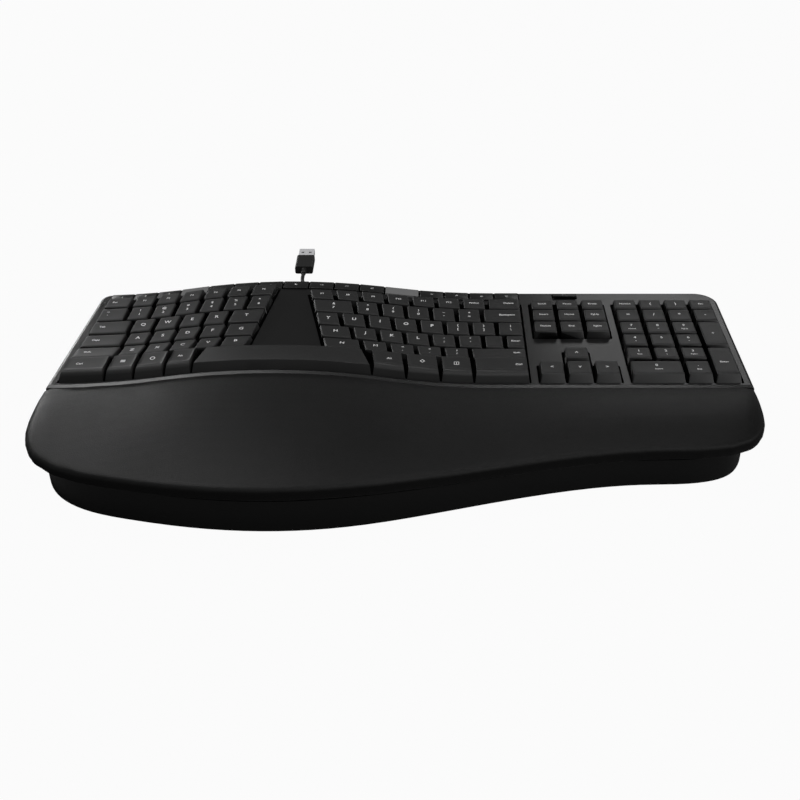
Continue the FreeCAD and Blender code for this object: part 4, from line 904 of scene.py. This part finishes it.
# %% World
AMBIENT = 0.06
SEEN_IN_GLOSS = 0.04
world = bpy.data.worlds.new("studio")
scene.world = world
world.use_nodes = True
sky = NodeTree(world.node_tree)
direct = sky.node("LightPath", output="Is Camera Ray") * (1 - AMBIENT)
in_gloss = (sky.node("LightPath", output="Is Glossy Ray")
            + sky.node("LightPath", output="Is Transmission Ray"))
backdrop = sky.tree.nodes["Background"]
feed(sky.tree, backdrop.inputs["Color"], (1, 1, 1, 1))
feed(sky.tree, backdrop.inputs["Strength"], direct + in_gloss * SEEN_IN_GLOSS + AMBIENT)
print("world light", AMBIENT, "and", SEEN_IN_GLOSS, "more in gloss")

# %% [markdown]
# ## Lamps
# The keyboard is black, so it is drawn by what it mirrors. Softboxes behind it lay
# the long sheen over the palm rest, narrow strips draw the thin light lines along the
# seam and the deck's edge, and a box above the front lights the fronts of the caps. A
# wide box at the right front fills the plinth and the right end. It is wide so that
# its mirror image is no bright spot from any side.


# %% Softboxes
def softbox(name, place, target, size, watts):
    """A rectangular lamp that looks at a target. Its size is width and depth in metres."""
    lamp = bpy.data.lights.new(name, "AREA")
    lamp.shape = "RECTANGLE"
    lamp.size, lamp.size_y = size
    lamp.energy = watts
    holder = bpy.data.objects.new(name, lamp)
    holder.location = place
    holder.rotation_euler = (Vector(target) - Vector(place)).to_track_quat("-Z", "Y").to_euler()
    scene.collection.objects.link(holder)


softbox("left_softbox", (-0.72, 0.78, 0.85), (-0.1, -0.05, 0), size=(0.4, 0.45), watts=1.45)
softbox("right_softbox", (0.42, 1.12, 0.5), (0.12, 0.02, 0), size=(0.4, 0.2), watts=0.6)
softbox("top_strip", (-0.45, 0.3, 1.05), (-0.12, -0.02, 0), size=(0.35, 0.12), watts=2.6)
softbox("right_strip", (0.25, 0.3, 1.05), (0.12, -0.02, 0), size=(0.35, 0.08), watts=1.0)
softbox("left_strip", (-0.9, 1.1, 0.25), (-0.2, 0.05, 0), size=(0.6, 0.1), watts=3.2)
softbox("front_fill", (1.25, -0.75, 0.62), (0.08, -0.06, 0.02), size=(1.6, 1.0), watts=12.0)
softbox("front_top", (0.25, -0.45, 0.95), (0.03, -0.03, 0), size=(0.5, 0.3), watts=2.2)
print(len(bpy.data.lights), "lamps")

# %% [markdown]
# ## Floor
# The floor is a plain sheet of paper. Lit to white, it would throw light up at the
# keyboard, so it is a middle grey that glows for the camera alone: it looks white and
# still takes a little shadow.

# %% Floor
FLOOR_HALF = 4.0
PAPER = 0.18
PAPER_GLOW = 0.96
floor_shape = bmesh.new()
bmesh.ops.create_grid(floor_shape, x_segments=1, y_segments=1, size=FLOOR_HALF)
floor_mesh = bpy.data.meshes.new("floor")
floor_shape.to_mesh(floor_mesh)
floor_shape.free()
floor = bpy.data.objects.new("floor", floor_mesh)
scene.collection.objects.link(floor)
paper = Finish("paper", Base_Color=(PAPER, PAPER, PAPER, 1), Roughness=0.9, Specular_IOR_Level=0.0)
seen = paper.node("LightPath", output="Is Camera Ray") * PAPER_GLOW
glow = paper.node("Emission", Strength=1.0)
sheet = Value(paper.tree, paper.shader.outputs[0])
blend = paper.node("MixShader", sockets={0: seen, 1: sheet, 2: glow})
feed(paper.tree, paper.tree.nodes["Material Output"].inputs["Surface"], blend)
finish_mesh(floor_mesh, paper.material)
print("floor", 2 * FLOOR_HALF, "m wide")
